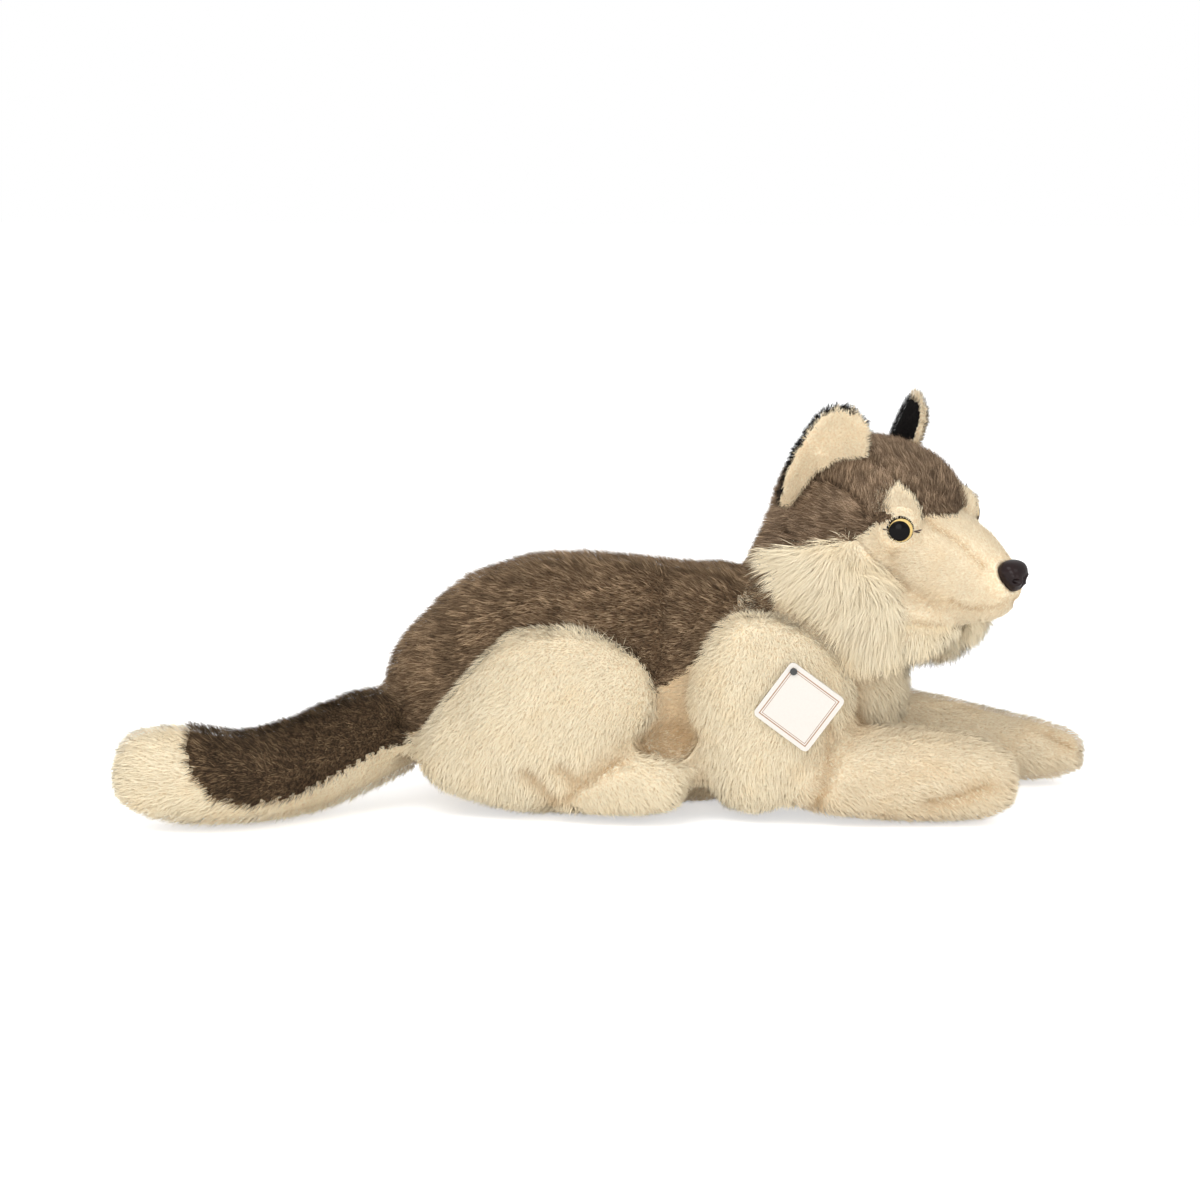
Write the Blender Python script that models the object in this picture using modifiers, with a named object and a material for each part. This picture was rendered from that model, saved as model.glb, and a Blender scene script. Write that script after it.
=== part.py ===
"""Plush wolf lying on its belly, head up and turned to its right.

Sewn plush covers over fibre stuffing, safety eyes and a moulded nose on shanks with
washers, and a folded hang tag. Metres, +Z up, +X toward the front paws, +Y its left side.
The origin is on the floor under the middle of the belly.
"""
import math
from collections import namedtuple

import bmesh
import bpy
from mathutils import Euler, Matrix, Vector

# Cloth, seams and clearances
FIT_GAP = 0.0003        # clearance between pieces that touch
BODY_PLUSH = 0.008      # backing and pile of the body's plush together
FACE_PLUSH = 0.006      # the same on the head
SEAM_REACH = 0.20       # how far a seam's cutting outline reaches past the forms
SECTION_STEP = 0.01     # share of a form's length over which its direction is taken

# Colours
CREAM = (0.83, 0.72, 0.50)
BROWN = (0.12, 0.09, 0.06)
BLACK = (0.02, 0.02, 0.02)
FIBRE = (0.90, 0.90, 0.88)
GLASS = (0.05, 0.03, 0.01)
NOSE_COLOUR = (0.05, 0.03, 0.03)
WASHER_COLOUR = (0.75, 0.75, 0.72)
CARD = (0.92, 0.92, 0.90)

# A section of a stuffed form: its centre and its half width and half height
Station = namedtuple("Station", "x y z wide tall")

# Trunk and neck, which join at the nape; the belly is pressed flat where the wolf lies on it
TRUNK_HALF_WIDTH = 0.063
TRUNK_CENTRE = 0.075
TRUNK_FULLNESS = 2.6
TRUNK = (
    Station(-0.137, 0, 0.060, 0.050, 0.064),
    Station(-0.094, 0, 0.067, TRUNK_HALF_WIDTH, 0.077),
    Station(-0.048, 0, TRUNK_CENTRE, TRUNK_HALF_WIDTH, 0.082),
    Station(0.000, 0, TRUNK_CENTRE, TRUNK_HALF_WIDTH, 0.082),
    Station(0.048, 0, TRUNK_CENTRE, TRUNK_HALF_WIDTH, 0.079),
    Station(0.096, 0, 0.078, TRUNK_HALF_WIDTH, 0.078),
    Station(0.144, 0, 0.080, 0.060, 0.073),
    Station(0.192, 0, 0.086, 0.050, 0.058),
)
NECK_HALF_WIDTH = 0.057
NECK_FULLNESS = 2.6
NECK = (
    Station(0.140, 0, 0.070, 0.050, 0.050),
    Station(0.142, 0, 0.108, NECK_HALF_WIDTH, 0.062),
    Station(0.150, 0, 0.145, NECK_HALF_WIDTH, 0.059),
    Station(0.156, 0, 0.182, 0.052, 0.053),
    Station(0.160, 0, 0.218, 0.042, 0.045),
)

# The two sides by name, and which way of Y each lies
SIDES = (("left", 1), ("right", -1))

# Limbs of the left side; the right side mirrors them, but for the foreleg
HAUNCH_OUT = 0.057
HAUNCH_HALF_WIDTH = 0.041
HAUNCH_FULLNESS = 2.2
HAUNCH = (
    Station(-0.114, HAUNCH_OUT, 0.034, 0.030, 0.036),
    Station(-0.072, HAUNCH_OUT, 0.046, 0.036, 0.050),
    Station(-0.034, HAUNCH_OUT, 0.057, HAUNCH_HALF_WIDTH, 0.062),
    Station(0.004, HAUNCH_OUT, 0.071, HAUNCH_HALF_WIDTH, 0.058),
    Station(0.043, HAUNCH_OUT, 0.082, 0.030, 0.042),
)
HIND_FOOT_HALF_WIDTH = 0.023
HIND_FOOT = (
    Station(-0.042, 0.066, 0.020, 0.020, 0.021),
    Station(-0.016, 0.070, 0.021, HIND_FOOT_HALF_WIDTH, 0.022),
    Station(0.010, 0.073, 0.021, HIND_FOOT_HALF_WIDTH, 0.023),
    Station(0.036, 0.075, 0.023, HIND_FOOT_HALF_WIDTH, 0.025),
    Station(0.061, 0.075, 0.021, 0.021, 0.022),
)
SHOULDER_OUT = 0.056
SHOULDER_HALF_WIDTH = 0.035
SHOULDER_FULLNESS = 2.6
SHOULDER = (
    Station(0.055, SHOULDER_OUT, 0.064, 0.030, 0.054),
    Station(0.079, SHOULDER_OUT, 0.064, SHOULDER_HALF_WIDTH, 0.065),
    Station(0.104, SHOULDER_OUT, 0.065, SHOULDER_HALF_WIDTH, 0.067),
    Station(0.130, SHOULDER_OUT, 0.060, SHOULDER_HALF_WIDTH, 0.063),
    Station(0.157, SHOULDER_OUT, 0.051, 0.031, 0.050),
)
LEG_FULLNESS = 3.2
FORELEG_HALF_WIDTH = 0.029
RIGHT_FORELEG = (
    Station(0.110, -0.062, 0.030, 0.027, 0.030),
    Station(0.148, -0.061, 0.031, FORELEG_HALF_WIDTH, 0.033),
    Station(0.186, -0.058, 0.030, FORELEG_HALF_WIDTH, 0.031),
    Station(0.224, -0.055, 0.029, FORELEG_HALF_WIDTH, 0.031),
    Station(0.263, -0.052, 0.026, 0.027, 0.028),
)
LEFT_FORELEG = (
    Station(0.116, 0.058, 0.031, 0.027, 0.031),
    Station(0.166, 0.059, 0.032, FORELEG_HALF_WIDTH, 0.035),
    Station(0.214, 0.060, 0.029, 0.027, 0.030),
    Station(0.263, 0.060, 0.024, 0.025, 0.025),
    Station(0.311, 0.058, 0.021, 0.023, 0.022),
)
TAIL_FULLNESS = 3.0
TAIL = (
    Station(-0.100, 0.000, 0.050, 0.032, 0.036),
    Station(-0.140, -0.030, 0.045, 0.032, 0.036),
    Station(-0.176, -0.068, 0.034, 0.032, 0.033),
    Station(-0.213, -0.098, 0.030, 0.034, 0.031),
    Station(-0.252, -0.106, 0.034, 0.036, 0.036),
    Station(-0.292, -0.106, 0.038, 0.035, 0.038),
)

# Head, in its own frame: x forward, y left, z up from the middle of the skull
HEAD_PLACE = (0.1745, -0.007, 0.1812)
HEAD_TILT = math.radians(2.0)
HEAD_NOD = math.radians(7.6)
HEAD_TURN = math.radians(-37.7)
SKULL_BACK = -0.069
SKULL_FRONT = 0.055
SKULL_HALF_WIDTH = 0.052
SKULL_HALF_HEIGHT = 0.049
SKULL_FULLNESS = 2.1
SKULL = tuple(Station(x, 0, 0, SKULL_HALF_WIDTH, SKULL_HALF_HEIGHT)
              for x in (SKULL_BACK, (SKULL_BACK + SKULL_FRONT) / 2, SKULL_FRONT))
MUZZLE_TIP = 0.1055
MUZZLE_FULLNESS = 2.8
MUZZLE = (
    Station(0.012, 0, -0.009, 0.040, 0.034),
    Station(0.034, 0, -0.013, 0.037, 0.035),
    Station(0.057, 0, -0.018, 0.031, 0.035),
    Station(0.081, 0, -0.023, 0.026, 0.030),
    Station(MUZZLE_TIP, 0, -0.027, 0.020, 0.021),
)
RUFF_FULLNESS = 2.4
RUFF = (
    Station(-0.056, 0.044, -0.034, 0.020, 0.026),
    Station(-0.024, 0.046, -0.044, 0.023, 0.030),
    Station(0.010, 0.041, -0.048, 0.023, 0.030),
    Station(0.044, 0.027, -0.052, 0.020, 0.026),
    Station(0.075, 0.011, -0.046, 0.012, 0.016),
)

# Seams in side view, as x and z: the outline of the panel on the upper side of each
BELLY_SEAM_HEIGHT = 0.034
BACK_SEAM = (
    (-0.100, BELLY_SEAM_HEIGHT), (-0.020, 0.058), (0.055, 0.088), (0.076, 0.112),
    (0.093, 0.140), (0.099, 0.152), (0.088, 0.161), (0.080, 0.230),
)
CHEST_SEAM = ((0.086, 0.0), (0.090, 0.080)) + BACK_SEAM[4:]
TAIL_SEAM = (
    (-0.246, 0.090), (-0.240, 0.057), (-0.234, 0.040), (-0.222, 0.026), (-0.205, 0.019),
    (-0.180, 0.021), (-0.155, 0.031), (-0.130, 0.041), (-0.090, 0.044),
)
CROWN_SEAM = (
    (-0.075, -0.032), (-0.029, -0.020), (-0.003, -0.011), (0.015, -0.004), (0.024, 0.003),
    (0.029, 0.008), (0.035, 0.013), (0.075, 0.013),
)
# The pale brows that reach up into the crown: an oval on each side, seen from the front
BROW_OUT = 0.0295
BROW_HEIGHT = 0.017
BROW_HALF_WIDTH = 0.0085
BROW_HALF_HEIGHT = 0.0155
BROW_BACK = 0.020       # the least x of the brows
BROW_STEPS = 20
JAW_SEAM = ((0.034, -0.046), (0.060, -0.040), (0.085, -0.035), (0.120, -0.031))
# The bridge panel seen from above the head, as x and half width
BRIDGE_SEAM = ((0.050, 0.021), (0.064, 0.017), (0.082, 0.014), (0.094, 0.008), (0.120, 0.008))
BRIDGE_SEAM_HEIGHT = -0.008
BRIDGE_RISE = 0.1       # how far the bridge panel's cutting outline is run upward

# Ears, one on each side of the head: an outline from the ear's middle, across and up
EAR_PLACE = (-0.024, 0.036, 0.024)
EAR_FACING = math.radians(38)
EAR_LEAN = math.radians(13)
EAR_THICKNESS = 0.0055
EAR_CUP = 0.013         # how far the ear's edge is cupped forward at its half width
EAR_HALF_WIDTH = 0.027
EAR_OUTLINE = (
    (-0.025, -0.016), (-0.028, -0.004), (-0.024, 0.013), (-0.016, 0.031), (-0.006, 0.047),
    (0.005, 0.0525), (0.017, 0.0525), (0.025, 0.043), (0.0265, 0.025), (0.026, 0.008),
    (0.018, -0.008), (-0.002, -0.020),
)

# Eyes and nose, each on a shank that a washer holds from inside
EYE_PLACE = (0.0405, 0.0352, 0.0070)
EYE_FACING = math.radians(45)
EYE_RADIUS = 0.009
EYE_DOME = 0.0055
EYE_RIM = 0.001
SHANK_RADIUS = 0.0025
SHANK_LENGTH = 0.016
WASHER_RADIUS = 0.008
WASHER_THICKNESS = 0.0015
WASHER_DEPTH = 0.010
BORE_REACH = 0.02       # how far a hole's cutting form is run past the surface
NOSE_BACK = 0.0925
NOSE_DROP = -0.013
NOSE_HALF_WIDTH = 0.0112
NOSE_HALF_HEIGHT = 0.0095
NOSE_DEPTH = 0.017
NOSE_NARROWING = 0.5    # how much of its width the nose loses from top to bottom
NOSE_ROOT = 0.004       # how far the shank is rooted in the nose

# Hang tag: a folded card on a moulded pin at the right shoulder
TAG_SIDE = 0.040
TAG_CARD = 0.0006
TAG_CORNER = 0.003      # radius of its corners
TAG_CORNER_STEPS = 4
TAG_FOLD = 0.0016
TAG_OPENING = 0.0030
TAG_CENTRE = (0.1260, 0.0780)
TAG_TURN = math.radians(36)
TAG_HOLE_RADIUS = 0.0010
TAG_HOLE_INSET = 0.0045
PIN_RADIUS = 0.0006
PIN_HEAD_RADIUS = 0.0022
PIN_HEAD_THICKNESS = 0.0008
PIN_DEPTH = 0.0125      # how far the pin's stem reaches behind the tag


def new_collection(name):
    collection = bpy.data.collections.new(name)
    bpy.context.scene.collection.children.link(collection)
    return collection


def new_object(name, mesh, collection, parent=None):
    piece = bpy.data.objects.new(name, mesh)
    collection.objects.link(piece)
    piece.parent = parent
    if collection is GUIDES:
        piece.hide_render = True
        piece.display_type = "WIRE"
    return piece


def mirrored(stations):
    """The same stations on the other side of the middle plane."""
    return tuple(station._replace(y=-station.y) for station in stations)


def between(four, t):
    """The Catmull-Rom curve through four points, at a share t of the way between the inner two."""
    blended = []
    for a, b, c, d in zip(*four):
        curve = 2 * b + (c - a) * t + (2 * a - 5 * b + 4 * c - d) * t**2
        curve += (3 * b - a - 3 * c + d) * t**3
        blended.append(curve / 2)
    return blended


def section_at(stations, share):
    """The section at a share of the way along the stations."""
    last = len(stations) - 1
    index = min(int(share * last), last - 1)
    four = [stations[min(max(k, 0), last)] for k in range(index - 1, index + 3)]
    return Station(*between(four, share * last - index))


def sphere_shape(around, rows):
    shape = bmesh.new()
    bmesh.ops.create_uvsphere(shape, u_segments=around, v_segments=rows, radius=1)
    return shape


def store(shape, name, collection, parent=None):
    """Makes an object of a bmesh, in flat triangles so that Booleans stay exact."""
    bmesh.ops.triangulate(shape, faces=shape.faces[:])
    mesh = bpy.data.meshes.new(name)
    shape.to_mesh(mesh)
    shape.free()
    return new_object(name, mesh, collection, parent)


def stuffed_form(name, stations, fullness, around, rows, head=None):
    """A closed stuffed form: a sphere whose rows are laid along the stations' curve.

    A row at height h of the unit sphere has its section scaled by (1 - |h|^f)^(1/f), with f
    the fullness: 2 gives an egg, and more gives blunter ends. What would reach below the
    floor is pressed flat on it, except on the head.
    """
    shape = sphere_shape(around, rows)
    for vert in shape.verts:
        height = max(-1.0, min(1.0, vert.co.z))
        share = (1 + height) / 2
        section = section_at(stations, share)
        before = section_at(stations, max(0.0, share - SECTION_STEP))
        after = section_at(stations, min(1.0, share + SECTION_STEP))
        along = (Vector(after[:3]) - Vector(before[:3])).normalized()
        side = Vector((0, 0, 1)).cross(along).normalized()
        rise = along.cross(side)
        scale = max(0.0, 1 - abs(height) ** fullness) ** (1 / fullness)
        spoke = Vector((vert.co.x, vert.co.y))
        if spoke.length > 1e-6:
            spoke.normalize()
        offset = side * spoke.x * section.wide + rise * spoke.y * section.tall
        vert.co = Vector(section[:3]) + offset * scale
        if head is None:
            vert.co.z = max(0.0, vert.co.z)
    return store(shape, name, GUIDES, head)


def offset_copy(form, distance):
    """A copy of a closed form with its skin moved out by the distance, or in where negative."""
    mesh = form.data.copy()
    moved = [vert.co + vert.normal * distance for vert in mesh.vertices]
    for vert, place in zip(mesh.vertices, moved):
        vert.co = place
    return new_object(form.name + "_offset", mesh, GUIDES, form.parent)


def duplicate(piece, name, collection):
    copy = new_object(name, piece.data.copy(), collection, piece.parent)
    copy.location = piece.location
    copy.rotation_euler = piece.rotation_euler
    return copy


def evaluated_mesh(piece):
    bpy.context.view_layer.update()
    graph = bpy.context.evaluated_depsgraph_get()
    return bpy.data.meshes.new_from_object(piece.evaluated_get(graph))


def boolean(piece, others, operation):
    """Cuts, keeps or joins one solid with others, and stores the result in the piece."""
    for other in others:
        modifier = piece.modifiers.new(operation.title(), "BOOLEAN")
        modifier.operation = operation
        modifier.solver = "EXACT"
        modifier.object = other
    mesh = evaluated_mesh(piece)
    piece.modifiers.clear()
    piece.data = mesh
    return piece


def widened(outline, distance):
    """A closed outline, listed anticlockwise, moved out by the distance at each corner."""
    corners = [Vector(point) for point in outline]
    moved = []
    for index, corner in enumerate(corners):
        into = (corner - corners[index - 1]).normalized()
        onward = (corners[(index + 1) % len(corners)] - corner).normalized()
        normal = Vector((into.y + onward.y, -into.x - onward.x)).normalized()
        spread = max(0.5, normal.dot(Vector((into.y, -into.x))))
        moved.append(corner + normal * distance / spread)
    return moved


def outline_solid(name, outline, thickness, pose, parent=None):
    """A flat outline given a thickness, half to each side of its plane, placed by a matrix."""
    curve = bpy.data.curves.new(name, "CURVE")
    curve.dimensions = "2D"
    curve.fill_mode = "BOTH"
    curve.extrude = thickness / 2
    spline = curve.splines.new("POLY")
    spline.points.add(len(outline) - 1)
    for point, corner in zip(spline.points, outline):
        point.co = (corner[0], corner[1], 0, 1)
    spline.use_cyclic_u = True
    flat = new_object(name + "_outline", curve, GUIDES)
    mesh = evaluated_mesh(flat)
    bpy.data.objects.remove(flat)
    mesh.transform(pose)
    shape = bmesh.new()
    shape.from_mesh(mesh)
    bmesh.ops.remove_doubles(shape, verts=shape.verts[:], dist=1e-6)
    bmesh.ops.recalc_face_normals(shape, faces=shape.faces[:])
    return store(shape, name, GUIDES, parent)


def side_zone(outline, grow=0.0, side=0, parent=None):
    """A side-view outline run across the whole form, or across its left or right half only."""
    if side:
        middle = side * SEAM_REACH / 2
        thickness = SEAM_REACH - 2 * FIT_GAP
    else:
        middle = 0
        thickness = 2 * SEAM_REACH
    pose = Matrix.Translation((0, middle, 0)) @ Matrix.Rotation(math.pi / 2, 4, "X")
    return outline_solid("seam", widened(outline, grow), thickness, pose, parent)


def closed_over(line, reach=SEAM_REACH):
    """The outline of all that lies above a seam line, anticlockwise."""
    return tuple(line) + ((line[-1][0], 2 * reach), (line[0][0], 2 * reach))


def finish(material_name, colour, roughness):
    material = bpy.data.materials.new(material_name)
    material.use_nodes = True
    shader = material.node_tree.nodes["Principled BSDF"]
    shader.inputs["Base Color"].default_value = (*colour, 1)
    shader.inputs["Roughness"].default_value = roughness
    return material


def present(piece, colour, roughness=0.9):
    """Puts a finished piece in the wolf's collection with a material of its own."""
    for collection in list(piece.users_collection):
        collection.objects.unlink(piece)
    WOLF.objects.link(piece)
    piece.hide_render = False
    piece.display_type = "TEXTURED"
    piece.data.materials.clear()
    piece.data.materials.append(finish(piece.name, colour, roughness))
    piece.data.shade_smooth()
    piece.data.set_sharp_from_angle(angle=math.radians(35))
    return piece


def take_panel(name, shell, outline, bays=None):
    """Cuts the panel inside a side-view outline out of the shell, which keeps the rest.

    The bays, a function of how far they are grown, are solids that the panel leaves out.
    """
    panel = duplicate(shell, name, GUIDES)
    inside = side_zone(outline, -FIT_GAP / 2, 0, shell.parent)
    outside = side_zone(outline, FIT_GAP / 2, 0, shell.parent)
    if bays:
        boolean(inside, bays(FIT_GAP / 2), "DIFFERENCE")
        boolean(outside, bays(-FIT_GAP / 2), "DIFFERENCE")
    boolean(panel, [inside], "INTERSECT")
    boolean(shell, [outside], "DIFFERENCE")
    return panel


def keep_side(piece, side):
    """Cuts away what lies on the other side of the middle plane."""
    reach = 2 * SEAM_REACH
    everything = ((-reach, -reach), (reach, -reach), (reach, reach), (-reach, reach))
    return boolean(piece, [side_zone(everything, 0, side, piece.parent)], "INTERSECT")


def cover_and_stuffing(name, outers, inners, plush, over):
    """The hollow cover of one or two joined forms and the stuffing in it.

    Both are cut clear of the forms that they join. Each form is moved in by itself, before
    it is joined, so that the clearance holds at the crease between two forms too.
    """
    cover = duplicate(outers[0], name + "_cover", GUIDES)
    boolean(cover, outers[1:], "UNION")
    cavities = [offset_copy(inner, -plush) for inner in inners]
    fillings = [offset_copy(inner, -plush - FIT_GAP) for inner in inners]
    stuffing = fillings[0]
    stuffing.name = name + "_stuffing"
    boolean(stuffing, fillings[1:], "UNION")
    cuts = [offset_copy(form, FIT_GAP) for form in over]
    boolean(cover, cavities + cuts, "DIFFERENCE")
    boolean(stuffing, cuts, "DIFFERENCE")
    return cover, stuffing


def form_pair(name, stations, fullness, around, rows, head=None):
    """The outer form and the plainer one that its lining and stuffing follow."""
    outer = stuffed_form(name, stations, fullness, around, rows, head)
    inner = stuffed_form(name + "_inner", stations, fullness, around // 2, rows // 2, head)
    return outer, inner


def limb(name, stations, fullness, around, rows, over, holes=()):
    """A limb's cover and stuffing; gives back its outer form, which its neighbours are cut by."""
    outer, inner = form_pair(name, stations, fullness, around, rows)
    cover, stuffing = cover_and_stuffing(name, [outer], [inner], BODY_PLUSH, over)
    boolean(cover, holes, "DIFFERENCE")
    present(cover, CREAM)
    present(stuffing, FIBRE)
    return outer


def trunk_panels(outers, inners, over):
    cover, stuffing = cover_and_stuffing("trunk", outers, inners, BODY_PLUSH, over)
    present(stuffing, FIBRE)
    rear = ((BACK_SEAM[0][0] - SEAM_REACH, BACK_SEAM[0][1]),)
    present(take_panel("back_cover", cover, closed_over(rear + BACK_SEAM)), BROWN)
    far = 2 * SEAM_REACH
    front = CHEST_SEAM + ((CHEST_SEAM[-1][0], far), (far, far), (far, -far), (CHEST_SEAM[0][0], -far))
    present(take_panel("chest_cover", cover, tuple(reversed(front))), CREAM)
    belly = ((-SEAM_REACH, -SEAM_REACH), (SEAM_REACH, -SEAM_REACH),
             (SEAM_REACH, BELLY_SEAM_HEIGHT), (-SEAM_REACH, BELLY_SEAM_HEIGHT))
    present(take_panel("belly_cover", cover, belly), CREAM)
    for name, side in SIDES:
        present(keep_side(duplicate(cover, "flank_cover_" + name, GUIDES), side), CREAM)


def tail_panels(over):
    outer, inner = form_pair("tail", TAIL, TAIL_FULLNESS, 14, 16)
    cover, stuffing = cover_and_stuffing("tail", [outer], [inner], BODY_PLUSH, over)
    present(stuffing, FIBRE)
    present(take_panel("tail_top_cover", cover, closed_over(TAIL_SEAM)), BROWN)
    cover.name = "tail_underside_cover"
    present(cover, CREAM)


def turned_solid(name, profile, pose, parent=None, steps=14):
    """A profile of radius and height pairs, listed from the top down, turned about its axis."""
    mesh = bpy.data.meshes.new(name)
    places = [(radius, 0, height) for radius, height in profile]
    mesh.from_pydata(places, [(k, k + 1) for k in range(len(places) - 1)], [])
    piece = new_object(name, mesh, GUIDES, parent)
    screw = piece.modifiers.new("Turn", "SCREW")
    screw.steps = steps
    screw.render_steps = steps
    screw.use_merge_vertices = True
    screw.merge_threshold = 1e-6
    mesh = evaluated_mesh(piece)
    piece.modifiers.clear()
    mesh.transform(pose)
    piece.data = mesh
    return piece


def shank_profile(grow, front):
    """Radius and height pairs from the shank's head down, heights below the seat negative."""
    washer_top = -WASHER_DEPTH + grow
    washer_bottom = -WASHER_DEPTH - WASHER_THICKNESS - grow
    shank = SHANK_RADIUS + grow
    profile = list(front) + [(shank, -grow)]
    if grow:
        pocket = WASHER_RADIUS + grow
        profile += [(shank, washer_top), (pocket, washer_top)]
        profile += [(pocket, washer_bottom), (shank, washer_bottom)]
    profile += [(shank, -SHANK_LENGTH - grow), (0, -SHANK_LENGTH - grow)]
    return profile


def eye_front(grow):
    """The glass dome down to its back face; the socket's front is open well past it."""
    radius = EYE_RADIUS + grow
    if grow:
        return [(0, BORE_REACH), (radius, BORE_REACH), (radius, -grow)]
    dome = []
    steps = 4
    for k in range(steps + 1):
        angle = math.pi / 2 * k / steps
        dome.append((radius * math.sin(angle), EYE_RIM + EYE_DOME * math.cos(angle)))
    return dome + [(radius, 0)]


def washer(name, pose, head):
    inner = SHANK_RADIUS + FIT_GAP
    top = -WASHER_DEPTH
    bottom = top - WASHER_THICKNESS
    ring = [(inner, top), (WASHER_RADIUS, top), (WASHER_RADIUS, bottom), (inner, bottom), (inner, top)]
    return present(turned_solid(name, ring, pose, head), WASHER_COLOUR, 0.5)


def eye(side_name, side, head):
    """One eye with its washer; gives back the socket that it needs in the head."""
    facing = Vector((math.cos(EYE_FACING), side * math.sin(EYE_FACING), 0))
    pose = Matrix.Translation((EYE_PLACE[0], side * EYE_PLACE[1], EYE_PLACE[2]))
    pose = pose @ facing.to_track_quat("Z", "Y").to_matrix().to_4x4()
    ball = turned_solid("eye_" + side_name, shank_profile(0, eye_front(0)), pose, head)
    present(ball, GLASS, 0.05)
    washer("eye_washer_" + side_name, pose, head)
    return turned_solid("eye_socket", shank_profile(FIT_GAP, eye_front(FIT_GAP)), pose, head)


def nose_body(name, grow, head):
    """The rounded nose, wider above than below."""
    shape = sphere_shape(12, 8)
    middle = NOSE_BACK + NOSE_DEPTH / 2
    for vert in shape.verts:
        x, y, z = vert.co
        width = (NOSE_HALF_WIDTH + grow) * (1 + NOSE_NARROWING * (z - 1) / 2)
        depth = NOSE_DEPTH / 2 + grow
        vert.co = (middle + x * depth, y * width, NOSE_DROP + z * (NOSE_HALF_HEIGHT + grow))
    return store(shape, name, GUIDES, head)


def nose(head):
    """The nose with its shank and washer; gives back the sockets that it needs."""
    pose = Matrix.Translation((NOSE_BACK + SHANK_RADIUS, 0, NOSE_DROP))
    pose = pose @ Matrix.Rotation(math.pi / 2, 4, "Y")
    body = nose_body("nose", 0, head)
    shank = shank_profile(0, [(0, NOSE_ROOT), (SHANK_RADIUS, NOSE_ROOT)])
    boolean(body, [turned_solid("nose_shank", shank, pose, head)], "UNION")
    present(body, NOSE_COLOUR, 0.3)
    washer("nose_washer", pose, head)
    clear = shank_profile(FIT_GAP, [(0, NOSE_ROOT), (SHANK_RADIUS + FIT_GAP, NOSE_ROOT)])
    bore = turned_solid("nose_bore", clear, pose, head)
    return [nose_body("nose_socket", FIT_GAP, head), bore]


def brows(grow, head):
    """Oval bars along x, one over each eye, that cut the pale brows out of the crown."""
    along_x = Matrix(((0, 0, 1, 0), (1, 0, 0, 0), (0, 1, 0, 0), (0, 0, 0, 1)))
    bars = []
    for _, side in SIDES:
        outline = []
        for k in range(BROW_STEPS):
            angle = math.tau * k / BROW_STEPS
            across = side * BROW_OUT + (BROW_HALF_WIDTH + grow) * math.cos(angle)
            outline.append((across, BROW_HEIGHT + (BROW_HALF_HEIGHT + grow) * math.sin(angle)))
        pose = Matrix.Translation((BROW_BACK - grow + SEAM_REACH / 2, 0, 0)) @ along_x
        bars.append(outline_solid("brow", outline, SEAM_REACH, pose, head))
    return bars


def head_panels(outers, inners, sockets):
    cover, stuffing = cover_and_stuffing("head", outers, inners, FACE_PLUSH, [])
    boolean(cover, sockets, "DIFFERENCE")
    boolean(stuffing, sockets, "DIFFERENCE")
    present(stuffing, FIBRE)
    crown = take_panel("crown_cover", cover, closed_over(CROWN_SEAM),
                       lambda grow: brows(grow, cover.parent))
    present(crown, BROWN)
    below = ((JAW_SEAM[0][0], -SEAM_REACH), (JAW_SEAM[-1][0], -SEAM_REACH))
    jaw = tuple(reversed(JAW_SEAM)) + below
    present(take_panel("jaw_cover", cover, jaw), CREAM)
    left = [(x, half) for x, half in BRIDGE_SEAM]
    right = [(x, -half) for x, half in BRIDGE_SEAM]
    outline = right + list(reversed(left))
    pose = Matrix.Translation((0, 0, BRIDGE_SEAM_HEIGHT + BRIDGE_RISE / 2))
    bridge = duplicate(cover, "bridge_cover", GUIDES)
    narrow = widened(outline, -FIT_GAP / 2)
    inside = outline_solid("bridge_zone", narrow, BRIDGE_RISE, pose, cover.parent)
    wide = widened(outline, FIT_GAP / 2)
    lowered = Matrix.Translation((0, 0, -FIT_GAP)) @ pose
    outside = outline_solid("bridge_zone", wide, BRIDGE_RISE, lowered, cover.parent)
    present(boolean(bridge, [inside], "INTERSECT"), CREAM)
    boolean(cover, [outside], "DIFFERENCE")
    for name, side in SIDES:
        present(keep_side(duplicate(cover, "face_cover_" + name, GUIDES), side), CREAM)


def ear_leaf(name, side, front, over, head):
    """One leaf of an ear: a padded outline, cupped forward at its edges.

    The unit sphere's pole axis is the ear's thickness; only the half on this leaf's side
    bulges, and the other is its flat face toward the seam between the leaves.
    """
    shape = sphere_shape(20, 6)
    half_gap = FIT_GAP / 2
    for vert in shape.verts:
        x, y, z = vert.co
        reach = math.hypot(x, y)
        share = (math.atan2(y, x) / math.tau) % 1
        corner = share * len(EAR_OUTLINE)
        index = int(corner) % len(EAR_OUTLINE)
        four = [EAR_OUTLINE[(index + k) % len(EAR_OUTLINE)] for k in (-1, 0, 1, 2)]
        across, up = Vector(between(four, corner - int(corner))) * reach
        bulge = max(0.0, front * z) * EAR_THICKNESS + half_gap
        cup = EAR_CUP * (across / EAR_HALF_WIDTH) ** 2
        vert.co = (front * bulge + cup, across, up)
    if side > 0:
        for vert in shape.verts:
            vert.co.y = -vert.co.y
        bmesh.ops.reverse_faces(shape, faces=shape.faces[:])
    pose = Matrix.Translation((EAR_PLACE[0], side * EAR_PLACE[1], EAR_PLACE[2]))
    pose = pose @ Matrix.Rotation(side * EAR_FACING, 4, "Z") @ Matrix.Rotation(EAR_LEAN, 4, "Y")
    bmesh.ops.transform(shape, matrix=pose, verts=shape.verts[:])
    bmesh.ops.recalc_face_normals(shape, faces=shape.faces[:])
    leaf = store(shape, name, GUIDES, head)
    boolean(leaf, [offset_copy(form, FIT_GAP) for form in over], "DIFFERENCE")
    return present(leaf, CREAM if front > 0 else BLACK)


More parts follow.
